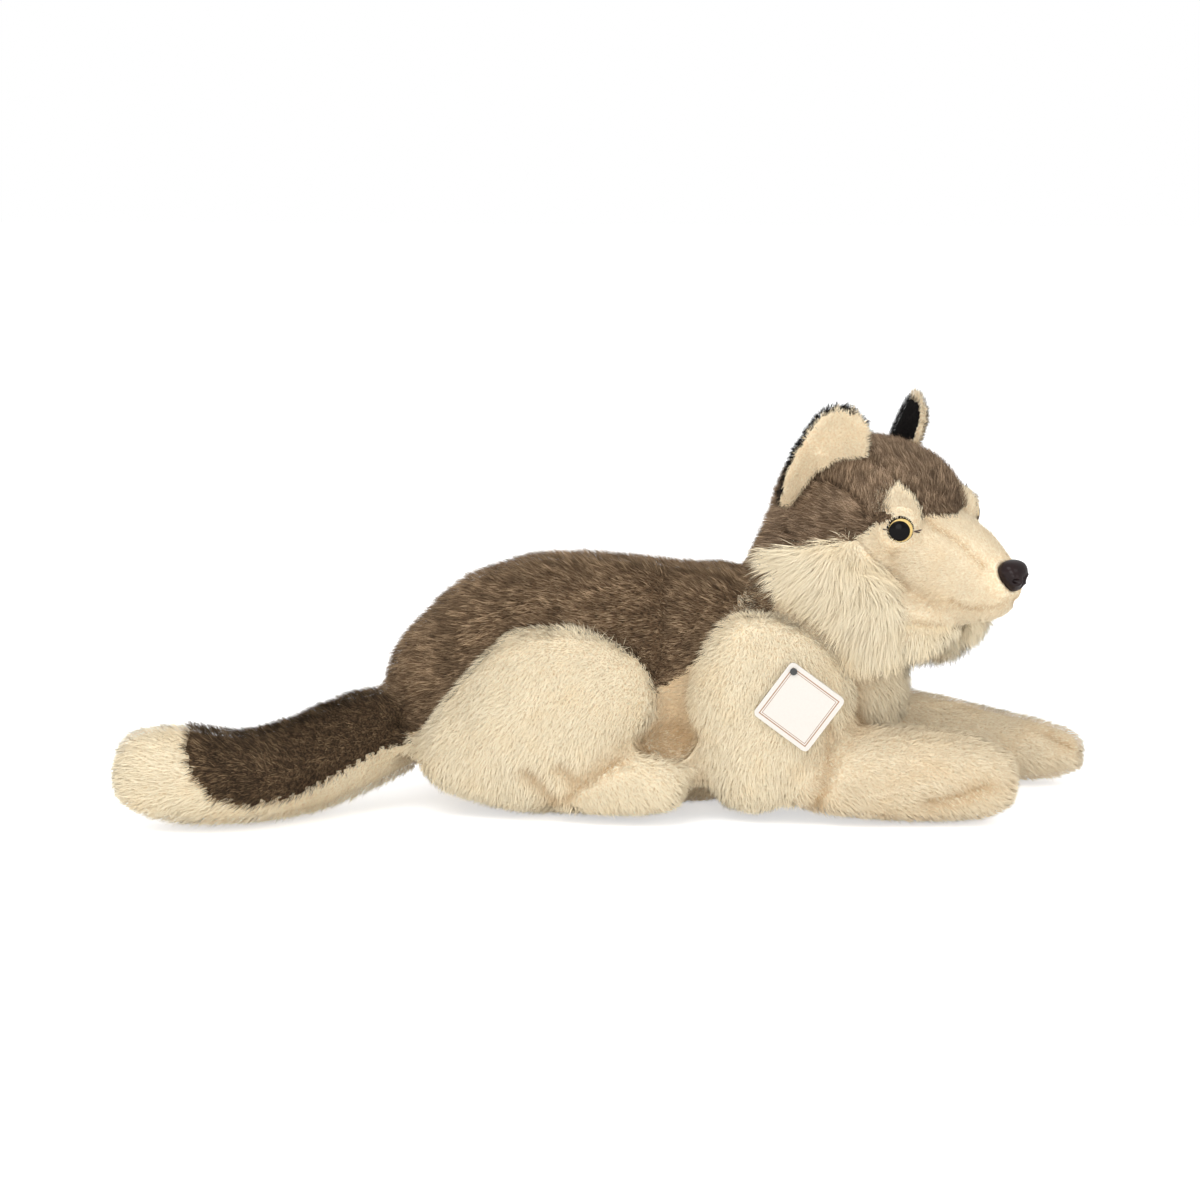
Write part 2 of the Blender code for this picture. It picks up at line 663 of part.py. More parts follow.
def ruff(side_name, side, over, head):
    stations = RUFF if side > 0 else mirrored(RUFF)
    pad = stuffed_form("cheek_ruff_" + side_name, stations, RUFF_FULLNESS, 12, 12, head)
    keep_side(pad, side)
    boolean(pad, [offset_copy(form, FIT_GAP) for form in over], "DIFFERENCE")
    return present(pad, CREAM)


def hang_tag():
    """A square card folded at its upper edge, hung flat before the right shoulder."""
    half = TAG_SIDE / 2
    section = (
        (-half, 0), (-half, -TAG_FOLD), (half, -TAG_OPENING), (half, TAG_CARD - TAG_OPENING),
        (-half + TAG_CARD, TAG_CARD - TAG_FOLD), (-half + TAG_CARD, -TAG_CARD),
        (half, -TAG_CARD), (half, 0),
    )
    card = outline_solid("hang_tag", section, TAG_SIDE, tag_pose())
    corners = []
    for quarter in range(4):
        for k in range(TAG_CORNER_STEPS + 1):
            angle = math.tau / 4 * (quarter + k / TAG_CORNER_STEPS)
            middle = math.tau / 4 * (quarter + 0.5)
            centre = (half - TAG_CORNER) * math.sqrt(2)
            corners.append((centre * math.cos(middle) + TAG_CORNER * math.cos(angle),
                            centre * math.sin(middle) + TAG_CORNER * math.sin(angle)))
    flat = tag_pose() @ Matrix.Rotation(math.pi / 2, 4, "X")
    boolean(card, [outline_solid("tag_shape", corners, SEAM_REACH, flat)], "INTERSECT")
    bore = ((0, BORE_REACH), (TAG_HOLE_RADIUS, BORE_REACH), (TAG_HOLE_RADIUS, -BORE_REACH),
            (0, -BORE_REACH))
    hole = turned_solid("tag_hole", bore, tag_hole_pose())
    present(boolean(card, [hole], "DIFFERENCE"), CARD, 0.6)


def tag_pose():
    """The tag's frame: x from its fold to its open edge, y into the shoulder, z along the fold."""
    plane = -(SHOULDER_OUT + SHOULDER_HALF_WIDTH + FIT_GAP)
    place = Matrix.Translation((TAG_CENTRE[0], plane, TAG_CENTRE[1]))
    return place @ Matrix.Rotation(TAG_TURN, 4, "Y")


def tag_hole_pose():
    """The axis of the tag's hole, in the upper corner at its fold."""
    inset = TAG_SIDE / 2 - TAG_HOLE_INSET
    return tag_pose() @ Matrix.Translation((-inset, 0, inset)) @ Matrix.Rotation(math.pi / 2, 4, "X")


def tag_pin(name, grow=0.0):
    """The moulded pin, its head on the tag's front and its stem in the shoulder's cover."""
    slope = (TAG_OPENING - TAG_FOLD) / TAG_SIDE
    front = TAG_FOLD + slope * (TAG_HOLE_INSET + PIN_HEAD_RADIUS) + FIT_GAP
    stem = PIN_RADIUS + grow
    profile = (
        (0, front + PIN_HEAD_THICKNESS), (PIN_HEAD_RADIUS, front + PIN_HEAD_THICKNESS),
        (PIN_HEAD_RADIUS, front), (stem, front), (stem, -PIN_DEPTH - grow), (0, -PIN_DEPTH - grow),
    )
    return turned_solid(name, profile, tag_hole_pose())


def main():
    head = bpy.data.objects.new("head_pose", None)
    WOLF.objects.link(head)
    head.location = HEAD_PLACE
    head.rotation_euler = Euler((HEAD_TILT, HEAD_NOD, HEAD_TURN), "XYZ")
    skull, skull_inner = form_pair("skull", SKULL, SKULL_FULLNESS, 18, 14, head)
    muzzle, muzzle_inner = form_pair("muzzle", MUZZLE, MUZZLE_FULLNESS, 14, 12, head)
    trunk, trunk_inner = form_pair("trunk", TRUNK, TRUNK_FULLNESS, 20, 16)
    neck, neck_inner = form_pair("neck", NECK, NECK_FULLNESS, 18, 10)
    body = [trunk, neck]
    trunk_panels(body, [trunk_inner, neck_inner], [skull, muzzle])
    sockets = nose(head)
    haunches = []
    shoulders = []
    for name, side in SIDES:
        turned = tuple if side > 0 else mirrored
        foreleg = LEFT_FORELEG if side > 0 else RIGHT_FORELEG
        haunch = limb("haunch_" + name, turned(HAUNCH), HAUNCH_FULLNESS, 14, 12, body)
        holes = [tag_pin("pin_bore", FIT_GAP)] if side < 0 else []
        shoulder = limb("shoulder_" + name, turned(SHOULDER), SHOULDER_FULLNESS, 14, 12, body, holes)
        beside = body + [haunch, shoulder]
        limb("hind_foot_" + name, turned(HIND_FOOT), LEG_FULLNESS, 12, 8, beside)
        limb("foreleg_" + name, foreleg, LEG_FULLNESS, 12, 12, body + [shoulder])
        sockets.append(eye(name, side, head))
        haunches.append(haunch)
        shoulders.append(shoulder)
    for name, side in SIDES:
        ruff(name, side, [skull, muzzle] + body + shoulders, head)
        ear_leaf("ear_front_" + name, side, 1, [skull] + body, head)
        ear_leaf("ear_back_" + name, side, -1, [skull] + body, head)
    tail_panels([trunk] + haunches)
    head_panels([skull, muzzle], [skull_inner, muzzle_inner], sockets)
    hang_tag()
    present(tag_pin("tag_pin"), BLACK, 0.4)


for stale in list(bpy.data.objects):
    bpy.data.objects.remove(stale)
GUIDES = new_collection("guides")
WOLF = new_collection("plush_wolf")
main()
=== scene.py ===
"""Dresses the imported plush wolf: padded skins, a furry pile of mesh strands, glass eyes,
moulded nose, thread, hang tag, studio floor, lamps and camera.

Laid out as an add-on: each group of pieces has an operator, and the panel in the sidebar
lists them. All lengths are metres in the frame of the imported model.
"""

import math

import bmesh
import bpy
import numpy as np
from mathutils import Euler, Matrix, Vector


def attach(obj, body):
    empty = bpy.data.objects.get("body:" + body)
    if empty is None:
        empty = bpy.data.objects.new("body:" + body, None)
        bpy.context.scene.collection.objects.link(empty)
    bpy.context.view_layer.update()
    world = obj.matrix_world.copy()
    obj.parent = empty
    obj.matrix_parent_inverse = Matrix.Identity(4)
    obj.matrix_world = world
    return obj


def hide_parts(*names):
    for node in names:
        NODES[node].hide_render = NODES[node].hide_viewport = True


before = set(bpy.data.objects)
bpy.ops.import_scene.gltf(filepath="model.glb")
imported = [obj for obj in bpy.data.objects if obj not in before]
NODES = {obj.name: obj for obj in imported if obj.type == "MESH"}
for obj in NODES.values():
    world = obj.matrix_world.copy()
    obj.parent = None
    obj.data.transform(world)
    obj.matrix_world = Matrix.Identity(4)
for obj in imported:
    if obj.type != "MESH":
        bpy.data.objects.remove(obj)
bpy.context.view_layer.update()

bl_info = {
    "name": "Plush Wolf",
    "version": (1, 0, 0),
    "blender": (4, 5, 0),
    "location": "3D Viewport > Sidebar > Plush Wolf",
    "description": "Dresses the solids of a lying plush wolf with skins, fur, eyes and thread",
    "category": "Object",
}

# The head's own frame: x forward, y left, z up from the middle of the skull
HEAD_PLACE = (0.1745, -0.007, 0.1812)
HEAD_TURN = (math.radians(2.0), math.radians(7.6), math.radians(-37.7))
HEAD = Matrix.Translation(HEAD_PLACE) @ Euler(HEAD_TURN, "XYZ").to_matrix().to_4x4()
EYE_PLACE = (0.0405, 0.0352, 0.0070)
EYE_FACING = math.radians(45)
NOSE_TIP = (0.104, 0.0, -0.013)
EAR_PLACE = (-0.024, 0.036, 0.024)

# Seams and creases of the face in the head's frame, on its right side; the left mirrors them
CHEEK_SEAM = ((0.015, -0.049, -0.002), (0.019, -0.048, -0.006), (0.026, -0.042, -0.016),
              (0.037, -0.037, -0.026), (0.049, -0.040, -0.038), (0.0535, -0.041, -0.049),
              (0.0545, -0.039, -0.059))
BRIDGE_SEAM = ((0.051, -0.020, 0.013), (0.063, -0.018, 0.009), (0.074, -0.017, 0.004),
               (0.084, -0.016, -0.002), (0.091, -0.014, -0.007))
MOUTH_LINE = ((0.106, -0.003, -0.029), (0.102, -0.011, -0.033), (0.093, -0.0155, -0.035),
              (0.084, -0.0185, -0.036), (0.075, -0.024, -0.033))
JAW_CREASE = ((0.054, -0.040, -0.047), (0.059, -0.036, -0.048), (0.066, -0.030, -0.049),
              (0.072, -0.022, -0.050))
CHEEK_CREASE = ((0.041, -0.037, -0.007), (0.040, -0.036, -0.012), (0.039, -0.034, -0.018))

# Folds of the body, those of both sides given for the right one
BOTH_SIDE_FOLDS = (
    ((-0.040, -0.092, 0.032), (-0.033, -0.090, 0.024), (-0.027, -0.087, 0.014), (-0.027, -0.079, 0.005)),
    ((-0.018, -0.093, 0.035), (-0.012, -0.093, 0.031), (-0.006, -0.093, 0.027)),
    ((-0.018, -0.089, 0.012), (-0.009, -0.093, 0.025), (0.006, -0.089, 0.036), (0.021, -0.082, 0.044)),
    ((0.034, -0.070, 0.049), (0.041, -0.059, 0.049), (0.050, -0.060, 0.051), (0.061, -0.072, 0.057)),
    ((0.150, -0.079, 0.065), (0.147, -0.083, 0.049), (0.142, -0.087, 0.034), (0.134, -0.075, 0.007)),
)
ONE_SIDE_FOLDS = (
    ((0.204, -0.082, 0.014), (0.214, -0.081, 0.017), (0.223, -0.081, 0.020), (0.232, -0.080, 0.024),
     (0.242, -0.079, 0.028)),
    ((0.284, 0.047, 0.039), (0.291, 0.045, 0.035), (0.301, 0.043, 0.029)),
    ((0.045, -0.010, 0.152), (0.047, -0.041, 0.133), (0.047, -0.055, 0.111), (0.050, -0.060, 0.093)),
)

# The cheek seam's depth below the head's middle against its reach forward, then the lower
# edges of the crown and of the ruffs, each as reach forward against height
SEAM_DROP = ((0.004, 0.010, 0.0165, 0.026, 0.038, 0.049, 0.059),
             (0.015, 0.019, 0.026, 0.037, 0.049, 0.0535, 0.0545))
CROWN_EDGE = ((-0.075, -0.029, -0.003, 0.015), (-0.032, -0.020, -0.011, -0.004))
RUFF_EDGE = ((-0.042, -0.026, 0.0, 0.030, 0.060), (-0.022, -0.032, -0.046, -0.056, -0.062))
CROWN_REAR = -0.046     # how far back the brown of the crown reaches on the neck
JAW_FOLD = -0.048       # height of the fold between the jaw and the throat
BROW_REAR = 0.0275      # how far back the pale brows reach
HEAD_MIDDLE = (0.010, 0.0, -0.010)
HEAD_REACH = 0.130
FAN = (0.016, 0.050, -0.004)    # the left ruff's strands fan out from here

# The tag's frame: u from its fold to its open edge, v along the fold
TAG_CENTRE = (0.1260, 0.0, 0.0780)
TAG_TURN = math.radians(36)
TAG_HALF = 0.020
# The tag's printed lines: how far each lies inside the border's place, and its half width
TAG_LINES = ((0.0, 0.00028), (0.0012, 0.00012))
LINE_EDGE = 0.00012     # how softly a printed line ends

LEFT_RIGHT = (("left", 1), ("right", -1))
STUFFED = ("haunch", "shoulder", "hind_foot", "foreleg")

FLOOR_GAP = 0.0008      # the least height of the padded skins over the floor
SAME_PLACE = 1e-6       # vertices nearer than this are one
STUFFING_FRAMES = 20    # steps of the cloth simulation
STUFFING_PRESSURE = 4
CLOTH_STIFFNESS = 20
CLOTH_BENDING = 0.3
HOLLOW_ROUNDS = 10      # how often a skin is averaged to find its hollows
HOLLOW_SHARE = 0.45     # a hollow as deep as this share of a voxel counts as a whole fold
EAR_VOXEL = 0.0022
EAR_DEPTH = 0.0014
EAR_SWELL = 0.0004
EAR_SPLIT = {"left": 0.55, "right": 0.80}   # share of an ear behind which black spreads forward
EAR_SHIFT = (3, 5)      # how many vertices the black and the cream spread
BODY_TUCK = 0.20        # share of the way to the head's middle by which hidden skin is drawn in
HEAD_TUCK = 0.24
FEWEST = 20             # strands that make a piece; a coat with fewer grows none
SHORTEST = 0.0006       # length under which a strand is left out
ROOT_SINK = 0.0004      # how far a strand's root is sunk in the backing
STRAND_GAP = 0.0002     # the least height of a strand over the floor
RESTING_SHARE = 0.15    # share of the usual strands where a skin rests on the floor
BROAD_WAVES = 0.045     # size of the broad waves in the combed pile
FINE_WAVES = 0.012
LEAN_SPREAD = 0.14      # how far the strands' leans differ, in radians
THREAD_RADIUS = 0.00042
EYE_SIDES = 48
NOSE_SIDES = 72
NOSE_RINGS = 44
NOSE_POWER = 0.86
NOSE_HALF = (0.0085, 0.0118, 0.0095)        # half of the nose's length, width and height
NOSTRIL_PLACE = (0.60, -0.12)               # to the side and up, as shares of those halves

PUPIL_SHIFT = (0.11, 0.02)                  # of the pupil, as shares of the eye's radius

# Threads at an eye's corners: start and end to the side of its middle, and how far it rises
EYE_THREADS = ((0.0078, 0.0128, 0.0012), (0.0080, 0.0118, -0.0006), (-0.0076, -0.0112, 0.0002))
# The back of an eye and its shank: radius against height
EYE_BACK = ((0.0025, 0), (0.0025, -0.0155), (0.002, -0.016), (0, -0.016))

WHITE = (1, 1, 1, 1)
FLOOR_REACH = 6.0
FLOOR_TONE = (0.92, 0.92, 0.92, 1)
LAMP_AIM = (0.03, 0, 0.08)
FLOOR_GLOW = 0.55       # added where the floor is seen directly, which makes it white
SENSOR_WIDTH = 36

# First number of the random draws of each group of coats
BODY_SEED = 100
HEAD_SEED = 500
EAR_FRONT_SEED = 700
EAR_BACK_SEED = 720


def colour(name, description, value):
    return bpy.props.FloatVectorProperty(
        name=name, description=description, default=value, size=3, min=0, max=1, subtype="COLOR")


def length(name, description, value):
    return bpy.props.FloatProperty(
        name=name, description=description, default=value, min=0, unit="LENGTH", precision=4)


def share(name, description, value):
    return bpy.props.FloatProperty(name=name, description=description, default=value, min=0, max=1)


class WolfColours(bpy.types.PropertyGroup):
    """The colours of the wolf's cloth, eyes, nose, thread and tag."""
    cream_root: colour("Cream root", "Cream pile down at the backing", (0.81, 0.58, 0.33))
    cream_body: colour("Cream", "Cream pile along most of its length", (0.93, 0.77, 0.53))
    cream_tip: colour("Cream tip", "Cream pile at its tips", (1.0, 0.90, 0.68))
    # Painted shade: a darker cream for the recessed flanks and the belly underneath
    cream_tan: colour("Tan", "Pile of flanks and belly along most of its length", (0.90, 0.7225, 0.48))
    cream_matted: colour("Matted cream", "Short pile under the cream strands", (0.858, 0.656, 0.41))
    # Painted shade: the darker cream that the pile takes in seams, folds and hollows
    cream_fold_shade: colour("Cream fold", "Cream pile pressed into seams and folds", (0.60, 0.385, 0.19))
    ruff_root: colour("Ruff root", "Long cream pile down at the backing", (0.94, 0.74, 0.46))
    ruff_body: colour("Ruff", "Long cream pile along most of its length", (1.0, 0.855, 0.60))
    tail_body: colour("Tail", "Brown pile of the tail along most of its length", (0.046, 0.028, 0.015))
    tail_tip: colour("Tail tip", "Light tips that frost the brown of the tail", (0.40, 0.27, 0.15))
    brown_root: colour("Brown root", "Brown pile down at the backing", (0.050, 0.034, 0.021))
    brown_body: colour("Brown", "Brown pile along most of its length", (0.155, 0.096, 0.053))
    brown_tip: colour("Brown tip", "Light tips that frost the brown pile", (0.58, 0.41, 0.25))
    crown_body: colour("Crown", "Pile of the crown along most of its length", (0.185, 0.120, 0.072))
    crown_tip: colour("Crown tip", "Light tips that frost the crown", (0.52, 0.375, 0.25))
    black_root: colour("Black root", "Black pile of the ears at the backing", (0.008, 0.007, 0.007))
    black_tip: colour("Black tip", "Black pile of the ears at its tips", (0.016, 0.013, 0.012))
    amber: colour("Amber", "Iris of the glass eyes", (0.70, 0.50, 0.19))
    pupil: colour("Pupil", "Pupil and rim of the glass eyes", (0.006, 0.005, 0.005))
    nose: colour("Nose", "Moulded nose", (0.013, 0.007, 0.007))
    thread: colour("Thread", "Dark thread at the eyes' corners", (0.045, 0.028, 0.020))
    card: colour("Card", "Hang tag", (0.66, 0.62, 0.57))
    card_line: colour("Card line", "Printed border of the hang tag", (0.32, 0.18, 0.10))


class WolfSizes(bpy.types.PropertyGroup):
    """The lengths and shares that shape the pile and the padding."""
    body_pile: length("Body pile", "Length of the body's strands", 0.0082)
    face_pile: length("Face pile", "Length of the face's strands", 0.0046)
    ruff_pile: length("Ruff pile", "Length of the cheek ruffs' strands", 0.0225)
    throat_pile: length("Throat pile", "Length of the strands under the jaw", 0.0115)
    ear_pile: length("Ear pile", "Length of the ears' strands", 0.0055)
    strand_width: length("Strand width", "Greatest width of a strand", 0.00038)
    body_depth: length("Body depth", "Depth of the backing under the body's outline", 0.0062)
    face_depth: length("Face depth", "Depth of the backing under the head's outline", 0.0034)
    fold_depth: length("Fold depth", "How much deeper the backing lies in folds", 0.0048)
    body_voxel: length("Body voxel", "Cell of the body's remesh", 0.0055)
    head_voxel: length("Head voxel", "Cell of the head's remesh", 0.0034)
    swell: length("Swell", "How far the stuffing may push the cloth", 0.0030)
    crowd: share("Crowd", "How far strands gather into tufts", 0.21)
    eye_radius: length("Eye radius", "Radius of the glass eyes", 0.0085)
    eye_dome: length("Eye dome", "Height of the glass eyes' domes", 0.0055)
    tag_border: length("Tag border", "Distance of the printed line from the tag's edge", 0.0030)


class WolfStage(bpy.types.PropertyGroup):
    """The camera, lamps and floor."""
    azimuth: bpy.props.FloatProperty(
        name="Azimuth", description="Camera's turn about the wolf", default=math.radians(4), subtype="ANGLE")
    elevation: bpy.props.FloatProperty(
        name="Elevation", description="Camera's height angle", default=math.radians(9.5), subtype="ANGLE")
    distance: length("Distance", "From the camera to the wolf", 2.2)
    target_height: length("Target height", "Height of the point that the camera looks at", 0.126)
    frame_width: length("Frame width", "Width of the picture at the wolf", 0.75)
    lamp_power: bpy.props.FloatProperty(
        name="Lamp power", description="Power of the main lamp", default=18, min=0, unit="POWER")
    ambient: share("Ambient", "Strength of the even light from all round", 0.84)


# Materials


class Graph:
    """A short way to lay out the nodes of a material or a world."""

    def __init__(self, name, store="materials"):
        self.owner = getattr(bpy.data, store).new(name)
        self.owner.use_nodes = True
        self.tree = self.owner.node_tree
        self.shader = self.tree.nodes.get("Principled BSDF")

    def node(self, kind, inputs=None, **settings):
        made = self.tree.nodes.new("ShaderNode" + kind)
        for key, value in settings.items():
            setattr(made, key, value)
        for key, value in (inputs or {}).items():
            self.put(made.inputs[key], value)
        return made

    def put(self, socket, value):
        if isinstance(value, bpy.types.NodeSocket):
            self.tree.links.new(value, socket)
        else:
            socket.default_value = value

    def set(self, **values):
        names = {"colour": "Base Color", "roughness": "Roughness", "specular": "Specular IOR Level",
                 "sheen": "Sheen Weight", "sheen_roughness": "Sheen Roughness", "sheen_tint": "Sheen Tint",
                 "coat": "Coat Weight", "coat_roughness": "Coat Roughness", "normal": "Normal"}
        for key, value in values.items():
            self.put(self.shader.inputs[names[key]], value)
        return self.owner

    def place(self):
        return self.node("TexCoord").outputs["Object"]

    def noise(self, scale, detail=2.0):
        made = self.node("TexNoise", {"Vector": self.place(), "Scale": scale, "Detail": detail})
        return made.outputs["Fac"]

    def spread(self, value, low, high, to_low=0.0, to_high=1.0):
        made = self.node("MapRange", {"Value": value, "From Min": low, "From Max": high,
                                      "To Min": to_low, "To Max": to_high})
        return made.outputs["Result"]

    def maths(self, operation, first, second=0.0):
        made = self.node("Math", operation=operation)
        self.put(made.inputs[0], first)
        self.put(made.inputs[1], second)
        return made.outputs[0]

    def mix(self, factor, first, second, blend="MIX"):
        made = self.node("Mix", data_type="RGBA", blend_type=blend)
        self.put(made.inputs["Factor"], factor)
        self.put(made.inputs[6], first)
        self.put(made.inputs[7], second)
        return made.outputs[2]

    def ramp(self, value, stops):
        made = self.node("ValToRGB", {"Fac": value})
        elements = made.color_ramp.elements
        while len(elements) < len(stops):
            elements.new(0.5)
        for element, (at, tone) in zip(elements, stops):
            element.position = at
            element.color = tone
        return made.outputs["Color"]

    def bump(self, height, distance, strength):
        made = self.node("Bump", {"Height": height, "Distance": distance, "Strength": strength})
        return made.outputs["Normal"]

    def seen_directly(self):
        """1 for the camera's rays and for those that gloss and glass send on, else 0."""
        path = self.node("LightPath").outputs
        seen = self.maths("MAXIMUM", path["Is Camera Ray"], path["Is Glossy Ray"])
        return self.maths("MAXIMUM", seen, path["Is Transmission Ray"])


def opaque(tone, brighter=1.0):
    """A colour with its fourth number, made brighter or darker by a factor."""
    return (*(min(1, part * brighter) for part in tone), 1)


# The colours of each pile by name, the share of its strands with light tips, and its mottling.
# Depth says how much of the fold colour, a painted shade, shows in folds.
CREAM = dict(root="cream_root", body="cream_body", tip="cream_tip", frost=0.7, mottle=0.03)
RUFF = dict(root="ruff_root", body="ruff_body", tip="cream_tip", frost=0.7, mottle=0.025)
CROWN = dict(root="brown_root", body="crown_body", tip="crown_tip", frost=0.72, mottle=0.28, depth=0.35)
BROWN = dict(root="brown_root", body="brown_body", tip="brown_tip", frost=0.74, mottle=0.26, depth=0.35)
PILES = {
    "cream pile": {**RUFF, "mottle": 0.035, "depth": 0.95, "fold": "cream_fold_shade"},
    "foreleg pile": {**CREAM, "frost": 0.6, "mottle": 0.035, "depth": 0.95, "fold": "cream_fold_shade"},
    # The flank pile's darker body colour is painted shade on the recessed flanks and the belly
    "flank pile": {**CREAM, "body": "cream_tan", "tip": "cream_body", "frost": 0.5, "mottle": 0.04,
                   "fold": "cream_fold_shade"},
    "ruff pile": RUFF,
    "brown pile": {**BROWN, "sheen": 0.3},
    "tail pile": {**BROWN, "body": "tail_body", "tip": "tail_tip", "frost": 0.6},
    "nape pile": CROWN,
    "face pile": {**CREAM, "depth": 0.9, "fold": "cream_fold_shade"},
    "throat pile": RUFF,
    "crown pile": CROWN,
    "ear front pile": CREAM,
    "ear back pile": dict(root="black_root", body="black_root", tip="black_tip", frost=0.6, mottle=0.2,
                          sheen=0.0, depth=0.2),
}
BACKINGS = {
    "cream backing": ("cream_matted", "cream_tip"),
    "brown backing": ("brown_root", "brown_body"),
    "face backing": ("cream_matted", "cream_tip"),
    "crown backing": ("brown_root", "crown_body"),
    "ear front backing": ("cream_matted", "cream_tip"),
    "ear back backing": ("black_root", "black_tip"),
}


def tones_of(*names):
    """The wolf's colours of these names."""
    tones = bpy.context.scene.wolf_colours
    return [opaque(getattr(tones, name)) for name in names]


def cloth_of(name):
    """One of the wolf's cloths, a pile or a backing, made when it is first asked for."""
    made = bpy.data.materials.get(name)
    if made is None:
        if name in PILES:
            made = pile_material(name, **PILES[name])
        else:
            made = backing_material(name, *BACKINGS[name])
    return made


def pile_material(name, root, body, tip, frost, mottle, sheen=0.06, depth=0.75, fold=None):
    """Strands: root, body and tip colours along each, lighter tips on a share of them.

    The strand attribute holds the share of the way from root to tip, a number of the
    strand's own, one of its tuft's own, and how deep in a fold it grows, where the fold
    colour shows as painted shade. Patches a few centimetres wide lean toward the root colour.
    """
    root, body, tip, fold = tones_of(root, body, tip, fold or root)
    graph = Graph(name)
    strand = graph.node("Attribute", attribute_name="strand")
    parts = graph.node("SeparateColor", {"Color": strand.outputs["Color"]})
    along, own, tuft = (parts.outputs[k] for k in range(3))
    tone = graph.ramp(along, ((0.05, root), (0.5, body), (1.0, body)))
    frosted = graph.maths("ADD", own, graph.spread(tuft, 0, 1, -0.24, 0.24))
    light = graph.spread(frosted, 1 - frost, 1.0)
    light = graph.maths("MULTIPLY", light, graph.spread(along, 0.3, 1.0))
    tone = graph.mix(light, tone, tip)
    patch = graph.noise(46, 3)
    tone = graph.mix(graph.spread(patch, 0.52, 0.80, 0.0, depth * 0.6), tone, root)
    # Painted shade: strands darken toward the fold colour by how deep in a fold they grow
    tone = graph.mix(graph.maths("MULTIPLY", strand.outputs["Alpha"], depth), tone, fold)
    shade = graph.maths("ADD", graph.spread(patch, 0.3, 0.7, -mottle, mottle),
                        graph.spread(tuft, 0, 1, -mottle, mottle))
    shade = graph.maths("ADD", shade, graph.spread(own, 0, 1, 1 - mottle, 1 + mottle))
    grey = graph.node("CombineColor", {"Red": shade, "Green": shade, "Blue": shade}).outputs[0]
    tone = graph.mix(1.0, tone, grey, "MULTIPLY")
    lie = graph.node("Attribute", attribute_name="lie").outputs["Vector"]
    return graph.set(colour=tone, roughness=0.75, specular=0.12, sheen=sheen, sheen_roughness=0.45,
                     sheen_tint=tip, normal=lie)


def backing_material(name, low, high):
    """Backing cloth of a furry fabric, seen between the strands as short matted pile."""
    low, high = tones_of(low, high)
    graph = Graph(name)
    tuft = graph.noise(650)
    tone = graph.mix(graph.spread(tuft, 0.35, 0.65), low, high)
    return graph.set(colour=tone, roughness=0.9, specular=0.1, normal=graph.bump(tuft, 0.0012, 0.8))


# Meshes


def new_piece(name, mesh):
    """Adds a mesh as a piece of the wolf, parented to the root body."""
    piece = bpy.data.objects.new(name, mesh)
    bpy.context.scene.collection.objects.link(piece)
    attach(piece, "root")
    return piece


def mesh_of(name, places, faces):
    """A mesh of an (n, 3) array of places and an (m, 3) or (m, 4) array of corners."""
    mesh = bpy.data.meshes.new(name)
    size = faces.shape[1]
    mesh.vertices.add(len(places))
    mesh.vertices.foreach_set("co", places.astype(np.float32).ravel())
    mesh.loops.add(faces.size)
    mesh.loops.foreach_set("vertex_index", faces.astype(np.int32).ravel())
    mesh.polygons.add(len(faces))
    mesh.polygons.foreach_set("loop_start", np.arange(0, faces.size, size, dtype=np.int32))
    mesh.update(calc_edges=True)
    return mesh


def read(items, name, width=None, kind=np.float32):
    """One property of all items as an array, a row of some width for each if it has more numbers."""
    values = np.empty(len(items) * (width or 1), kind)
    items.foreach_get(name, values)
    return values.reshape(-1, width) if width else values


def places_of(mesh):
    return read(mesh.vertices, "co", 3).astype(float)


def normals_of(mesh):
    return read(mesh.vertex_normals, "vector", 3).astype(float)


def triangles_of(mesh):
    mesh.calc_loop_triangles()
    return read(mesh.loop_triangles, "vertices", 3, np.int32)


def edges_of(mesh):
    return read(mesh.edges, "vertices", 2, np.int32)


def paint(mesh, name, colours):
    """Keeps four numbers for each vertex as a colour attribute."""
    layer = mesh.color_attributes.new(name, "FLOAT_COLOR", "POINT")
    layer.data.foreach_set("color", colours.astype(np.float32).ravel())


def unit(vectors):
    return vectors / np.maximum(np.linalg.norm(vectors, axis=-1, keepdims=True), 1e-12)


def moved_by(matrix, places):
    """Places after a 4 by 4 matrix."""
    array = np.array(matrix)
    return places @ array[:3, :3].T + array[:3, 3]


def turned_by(matrix, vectors):
    return vectors @ np.array(matrix)[:3, :3].T


def smooth_line(points, count):
    """Catmull-Rom curve through the points, read at evenly spread parameters."""
    points = np.array(points, float)
    padded = np.vstack([2 * points[0] - points[1], points, 2 * points[-1] - points[-2]])
    at = np.linspace(0, len(points) - 1, count)
    k = np.minimum(at.astype(int), len(points) - 2)
    t = (at - k)[:, None]
    a, b, c, d = padded[k], padded[k + 1], padded[k + 2], padded[k + 3]
    return (2 * b + (c - a) * t + (2 * a - 5 * b + 4 * c - d) * t**2 + (3 * b - a - 3 * c + d) * t**3) / 2


def distance_to_line(places, line):
    """Distance of each place to the nearest point of a fine line."""
    nearest = np.full(len(places), np.inf)
    for point in line:
        nearest = np.minimum(nearest, ((places - point) ** 2).sum(1))
    return np.sqrt(nearest)


def ring_quads(rings, sides):
    """The quads between rings of vertices, each ring closed on itself."""
    i, j = np.meshgrid(np.arange(rings - 1), np.arange(sides), indexing="ij")
    k = (j + 1) % sides
    low, high = i * sides, (i + 1) * sides
    return np.stack([low + j, high + j, high + k, low + k], -1).reshape(-1, 4)


